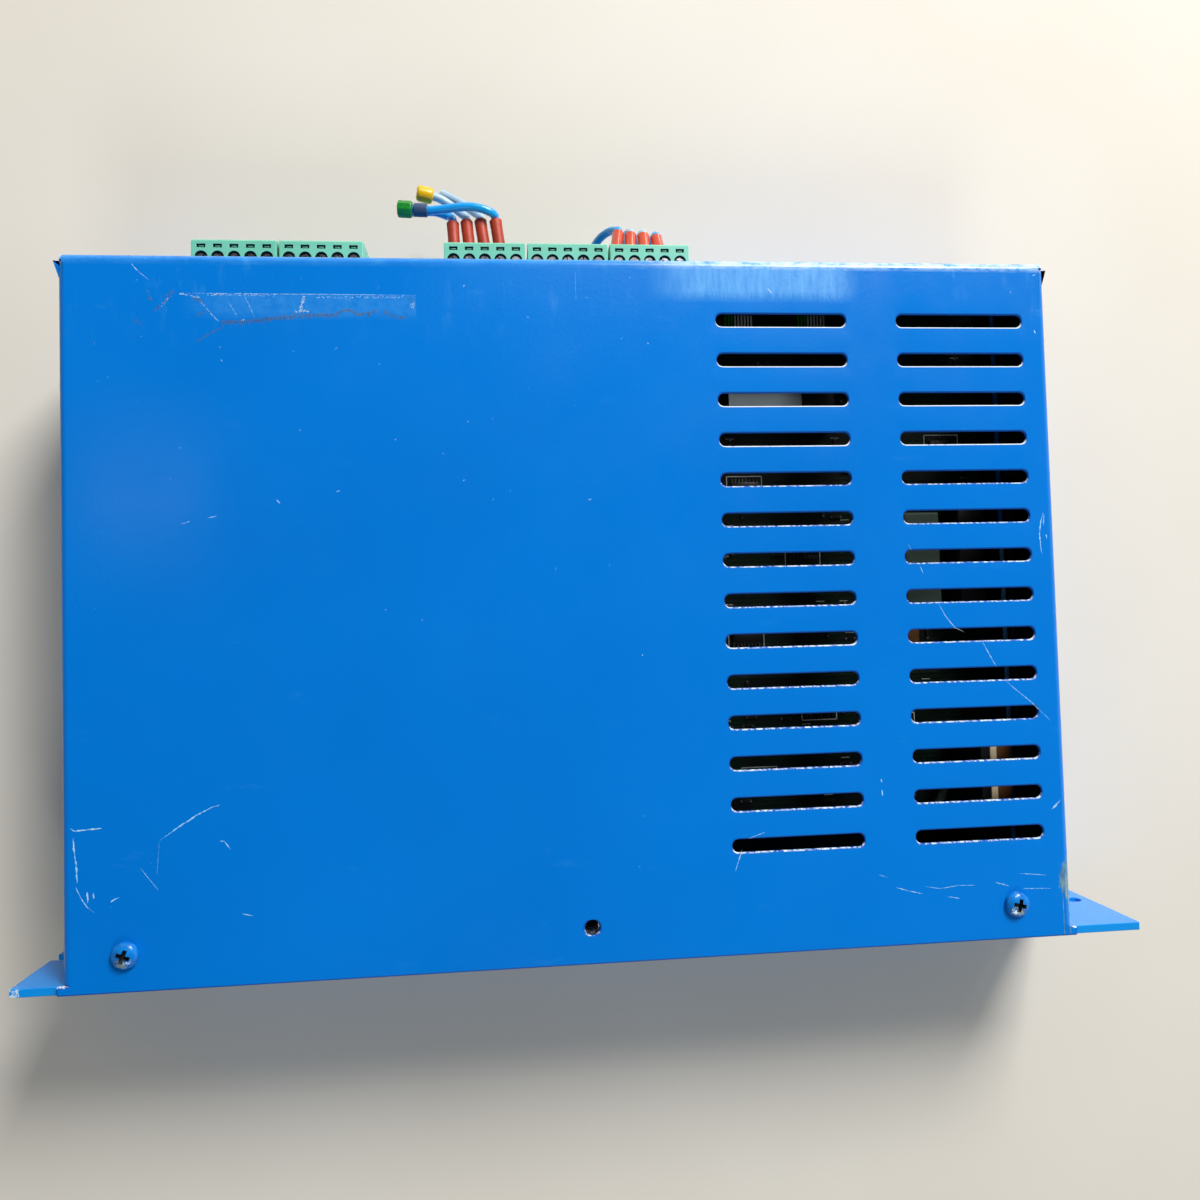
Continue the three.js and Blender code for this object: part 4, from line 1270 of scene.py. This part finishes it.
def make_blocks():
    """Moulded blocks, the strip and tilted part seen through the end vents, and a black block
    beside the strip that stands for painted shade.
    """
    for node, name, look in (("filter_capacitor_1", "film_capacitor_1", "grey_block"),
                             ("filter_capacitor_2", "film_capacitor_2", "black"),
                             ("output_relay", "relay_case", "black"),
                             ("rectifier_bridge", "bridge_body", "black")):
        low, high = local_box(node)
        bm = bmesh.new()
        add_box(bm, low, high, 0.8, 4)
        piece(name, bm, look, replaces=(node,))
    brown, cream, resistor, leads, shade = (bmesh.new() for _ in range(5))
    top = BOARD_TOP
    add_box(brown, (260.5, -124, top + 0.05), (268.2, -113.5, top + 12), 0.8, 3)
    # A black block for painted shade in the dark gap beside the strip.
    add_box(shade, (283.0, -178, top + 0.05), (286.1, -149.5, top + 21.8), 0.3)
    add_box(cream, (286.2, -177.5, top + 0.05), (288.4, -150, top + 22), 0.15)
    add_box(brown, (288.8, -177.5, top + 0.05), (293.8, -150, top + 20.5), 0.15)
    add_turned(resistor, (276, -178, top + 4), (0.35, 1, 0.1),
               [(0, 0), (1.2, 0), (1.7, 0.6), (1.7, 1.6), (1.4, 2.2), (1.4, 6.2), (1.7, 6.8),
                (1.7, 7.8), (1.2, 8.4), (0, 8.4)], 24)
    add_turned(leads, (275, -181, top + 3.7), (0.35, 1, 0.1),
               [(0, 0), (0.35, 0), (0.35, 14), (0, 14)], 10)
    piece("varistor", brown, "brown_block")
    piece("shade_block", shade, "black")
    piece("insulating_strip", cream, "cream")
    piece("bleed_resistor", resistor, "grey_block")
    piece("resistor_leads", leads, "tin")


def make_fuse():
    """Glass tube with plated caps, held in two clips."""
    (x0, y0, z0), (x1, y1, z1) = local_box("mains_fuse")
    y, z = (y0 + y1) / 2, (z0 + z1) / 2
    glass, caps, clips = bmesh.new(), bmesh.new(), bmesh.new()
    add_turned(glass, (x0 + 4, y, z), (1, 0, 0), [(0, 0), (2.35, 0), (2.35, 13), (0, 13)], 32)
    for x in (x0, x1 - 4.6):
        add_turned(caps, (x, y, z), (1, 0, 0),
                   [(0, 0), (2.3, 0), (2.55, 0.3), (2.55, 4.3), (2.3, 4.6), (0, 4.6)], 32)
        for side in (-1, 1):
            near, far = sorted((y + side * 2.6, y + side * 3.1))
            add_box(clips, (x + 0.6, near, BOARD_TOP + 0.02), (x + 4.0, far, z + 1.8), 0.1)
    piece("fuse_tube", glass, "glass", replaces=("mains_fuse",))
    piece("fuse_caps", caps, "tin")
    piece("fuse_clips", clips, "tin")


def make_board():
    refined("main_board", "circuit_board", "board", 0.08)
    for i in range(1, 5):
        refined(f"board_standoff_{i}", f"standoff_{i}", "zinc", 0.25)
        (x0, y0, _), (x1, y1, z1) = local_box(f"board_screw_{i}")
        centre = ((x0 + x1) / 2, (y0 + y1) / 2, BOARD_TOP + 0.1)
        bm = bmesh.new()
        add_turned(bm, centre, (0, 0, 1), screw_profile(6, 1.5, 2.9, 2.0), 32)
        screw = piece(f"small_screw_{i}", bm, "zinc",
                      replaces=(f"board_screw_{i}",))
        cut_with(screw, cross_cutter(centre, (0, 0, 1), 2.0, 1.2, 1.5, 25 * i),
                 "recess")
    make_small_parts()
    make_transformer()
    make_capacitor(1)
    make_capacitor(2)
    make_chip()
    make_blocks()
    make_fuse()
    refined("heat_sink", "finned_heat_sink", "aluminium", 0.3)


# ---- Wear on the vented face ---------------------------------------------------------------
# Scratches: width, then the points of each stroke on the face
SCRATCHES = [
    (0.38, [(26.8, -171.7), (31.4, -168.5), (37.0, -165.0), (41.2, -162.9), (43.6, -162.3)]),
    (0.48, [(1.8, -167.2), (2.8, -167.9), (5.7, -167.8), (10.5, -167.5)]),
    (0.55, [(2.6, -170.0), (2.8, -173.0), (3.3, -177.0), (3.6, -182.9)]),
    (0.32, [(3.2, -184.1), (4.7, -187.4), (6.3, -189.9), (8.2, -191.5)]),
    (0.42, [(6.3, -185.5), (6.5, -188.7)]),
    (0.36, [(8.0, -185.9), (8.2, -187.6)]),
    (0.14, [(21.2, -179.6), (26.1, -186.1)]),
    (0.36, [(12.7, -188.8), (14.2, -187.9), (15.3, -187.5)]),
    (0.28, [(43.5, -172.8), (44.7, -172.8), (46.5, -175.2)]),
    (0.08, [(26.5, -172.0), (26.0, -178.2), (25.7, -181.6)]),
    (0.22, [(49.5, -194.1), (52.7, -194.9)]),
    (0.14, [(255.7, -89.6), (256.7, -91.6)]),
    (0.12, [(259.2, -96.5), (260.4, -99.0)]),
    (0.16, [(265.0, -108.8), (267.1, -112.7), (270.0, -116.4), (273.0, -117.8)]),
    (0.22, [(279.0, -121.3), (281.3, -125.7), (283.2, -129.2)]),
    (0.2, [(286.1, -133.7), (288.5, -135.9), (294.4, -140.8), (300.7, -147.0)]),
    (0.4, [(301.2, -80.1), (300.2, -83.0), (299.6, -87.0), (300.0, -93.4)]),
    (0.34, [(301.4, -80.6), (301.0, -84.2)]),
    (0.4, [(301.8, -87.2), (301.9, -88.8)]),
    (0.26, [(247.4, -196.9), (251.2, -198.1), (255.9, -199.3)]),
    (0.2, [(242.1, -192.7), (245.0, -193.7)]),
    (0.16, [(256.9, -197.1), (261.7, -198.0), (267.7, -197.3), (273.7, -197.6)]),
    (0.24, [(279.9, -197.0), (284.3, -198.3)]),
    (0.3, [(300.5, -174.6), (302.6, -172.1)]),
    (0.26, [(299.8, -174.9), (301.6, -172.8)]),
    (0.3, [(243.9, -163.0), (244.2, -164.2)]),
    (0.32, [(244.0, -166.4), (244.2, -168.4)]),
    (0.2, [(33.4, -79.5), (34.6, -79.3), (36.2, -78.7)]),
    (0.18, [(41.1, -77.9), (43.9, -77.3)]),
    (0.26, [(61.0, -72.6), (62.2, -73.8)]),
    (0.26, [(78.6, -70.6), (79.7, -70.1)]),
    (0.22, [(78.7, -27.6), (79.6, -26.7)]),
    (0.22, [(154.3, -74.1), (155.5, -73.7)]),
    (0.07, [(152.2, -2.8), (152.2, -11.9)]),
    (0.22, [(196.5, -189.5), (198.9, -182.9)]),
    (0.18, [(201.0, -179.6), (206.3, -177.8)]),
    (0.24, [(20.2, -1.8), (22.2, -4.0)]),
    (0.1, [(22.2, -4.0), (25.2, -6.6)]),
    (0.22, [(212.8, -7.6), (214.4, -9.4)]),
    (0.12, [(34.0, -10.5), (62.0, -10.6), (80.0, -10.6), (103.3, -10.7)]),
    (0.1, [(52.8, -11.2), (55.6, -17.8)]),
    (0.1, [(48.0, -13.0), (50.6, -17.6)]),
    (0.34, [(301.0, -2.9), (302.2, -2.5)]),
    (0.36, [(300.8, -20.6), (301.2, -22.0)]),
    (0.2, [(264.0, -200.6), (268.0, -201.4)]),
    (0.16, [(289.0, -199.4), (298.0, -199.8)]),
    (0.16, [(288.0, -194.6), (297.0, -195.6)]),
]
# Crumbs of glue left by a torn-off label: width of the band, crumbs per mm, then points
RESIDUE = [
    (1.5, 26, [(46.0, -19.4), (53.8, -19.0), (63.1, -17.8), (71.2, -17.1), (79.9, -16.8)]),
    (0.8, 20, [(79.9, -16.4), (82.3, -15.3), (84.0, -15.5), (85.8, -16.8), (88.2, -16.4),
               (89.6, -17.0)]),
    (1.4, 14, [(88.7, -16.1), (91.7, -15.6)]),
    (1.4, 16, [(93.6, -15.8), (96.4, -17.0), (99.9, -17.9)]),
    (1.5, 12, [(32.6, -9.4), (30.0, -12.6), (26.8, -16.1)]),
    (1.1, 16, [(38.0, -12.0), (40.6, -13.4)]),
    (1.4, 12, [(21.4, -18.6), (23.0, -20.4)]),
    (0.7, 12, [(38.6, -17.2), (41.5, -16.0)]),
    (0.8, 7, [(39.0, -25.2), (42.6, -22.6), (46.6, -20.6)]),
    (1.6, 10, [(101.2, -11.4), (102.6, -13.0)]),
    (1.2, 8, [(24.8, -9.2), (25.8, -13.0)]),
]
# Pale scraps of the label's face: the same numbers
PAPER = [
    (0.9, 22, [(68.8, -15.6), (69.8, -12.6), (70.2, -11.2)]),
    (0.8, 22, [(67.6, -16.0), (69.4, -15.6), (71.4, -16.0)]),
    (1.7, 24, [(101.8, -13.2), (102.9, -14.4)]),
    (0.28, 9, [(39.8, -12.8), (42.2, -15.8), (45.0, -19.0)]),
    (0.5, 7, [(33.9, -10.6), (37.2, -11.4), (39.6, -12.0)]),
    (0.9, 5, [(30.6, -12.0), (28.6, -14.6)]),
    (0.8, 5, [(42.0, -10.9), (62.0, -10.9)]),
    (1.0, 4, [(74.0, -11.6), (100.0, -11.2)]),
    (0.6, 14, [(51.8, -18.8), (52.6, -18.4)]),
]


def resample(points, step):
    """Points spaced by about a step along a polyline."""
    out = []
    for a, b in zip(points, points[1:]):
        a, b = Vector(a), Vector(b)
        count = max(1, int((b - a).length / step))
        out += [a.lerp(b, i / count) for i in range(count)]
    return out + [Vector(points[-1])]


def add_stroke(bm, points, width, height, rag=0.0, step=0.8):
    """A thin closed ridge along a stroke, tapered at both ends."""
    line = resample(points, step)
    last = len(line) - 1
    rings = []
    for i, spot in enumerate(line):
        ahead = (line[min(i + 1, last)] - line[max(i - 1, 0)]).normalized()
        side = Vector((-ahead.y, ahead.x))
        taper = min(1.0, 0.25 + 1.5 * min(i, last - i) / max(1, last) * 2)
        taper *= random.choice((1.0, 1.0, 0.7, 0.3))
        half = [width / 2 * taper * (1 + rag * random.uniform(-1, 1)) for _ in range(2)]
        shift = side * width * rag * 0.4 * random.uniform(-1, 1)
        corners = [(spot + shift + side * half[0], 0.0), (spot + shift, height),
                   (spot + shift - side * half[1], 0.0)]
        rings.append([bm.verts.new(at(p.x, p.y, z + 0.004)) for p, z in corners])
    close_stack(bm, rings)


def add_flake(bm, x, y, size, height):
    """Small irregular crumb lying on the face."""
    sides = 5
    spin = random.uniform(0, 2 * math.pi)
    low, high = [], []
    for i in range(sides):
        angle = spin + 2 * math.pi * i / sides
        reach = size / 2 * random.uniform(0.5, 1.0)
        out_x, out_y = reach * math.cos(angle), reach * math.sin(angle)
        low.append(bm.verts.new(at(x + out_x, y + out_y, 0.004)))
        high.append(bm.verts.new(at(x + out_x * 0.7, y + out_y * 0.7, height)))
    close_stack(bm, [low, high])


def add_crumbs(bm, width, per_mm, points):
    for a, b in zip(points, points[1:]):
        a, b = Vector(a), Vector(b)
        side = Vector((a.y - b.y, b.x - a.x)).normalized()
        for _ in range(int((b - a).length * per_mm)):
            off = random.gauss(0, width / 4)
            spot = a.lerp(b, random.random()) + side * off
            add_flake(bm, spot.x, spot.y, random.uniform(0.12, 0.42), 0.03)


def make_wear():
    random.seed(3)
    scratches, residue, paper = bmesh.new(), bmesh.new(), bmesh.new()
    for width, points in SCRATCHES:
        add_stroke(scratches, points, width, 0.012, 0.35, 0.5)
    for _ in range(90):
        x, y = random.uniform(4, 300), -abs(random.gauss(0, 60)) - 4
        lean = random.uniform(0, math.pi)
        size = random.uniform(0.2, 0.8)
        if y < -200 or 192 < x < 300 and -188 < y < -12:
            continue
        end = (x + size * math.cos(lean), y + size * math.sin(lean))
        add_stroke(scratches, [(x, y), end], random.uniform(0.08, 0.2), 0.01, 0.3, 0.2)
    for band in RESIDUE:
        add_crumbs(residue, *band)
    for band in PAPER:
        add_crumbs(paper, *band)
    piece("paint_scratches", scratches, "scratch")
    piece("glue_residue", residue, "residue")
    piece("paper_scraps", paper, "paper")


# ---- Build ---------------------------------------------------------------------------------
def make_floor():
    bm = bmesh.new()
    bmesh.ops.create_grid(bm, x_segments=2, y_segments=2, size=3.0)
    data = bpy.data.meshes.new("floor")
    bm.to_mesh(data)
    bm.free()
    data.materials.append(pale_floor())
    floor = new_object("floor", data)
    floor.location.z = FLOOR_Z


def build():
    make_camera()
    make_materials()
    make_wires()
    make_light()
    make_floor()
    make_cover()
    refined("mounting_plate", "flanged_plate", "plate", 0.35)
    refined("base_pan", "lower_pan", "pan", 0.3)
    make_fasteners()
    for index, x_middle in enumerate(PLUG_CENTRES, 1):
        make_header(index, x_middle)
        make_plug(index, x_middle)
    make_board()
    make_wear()


build()
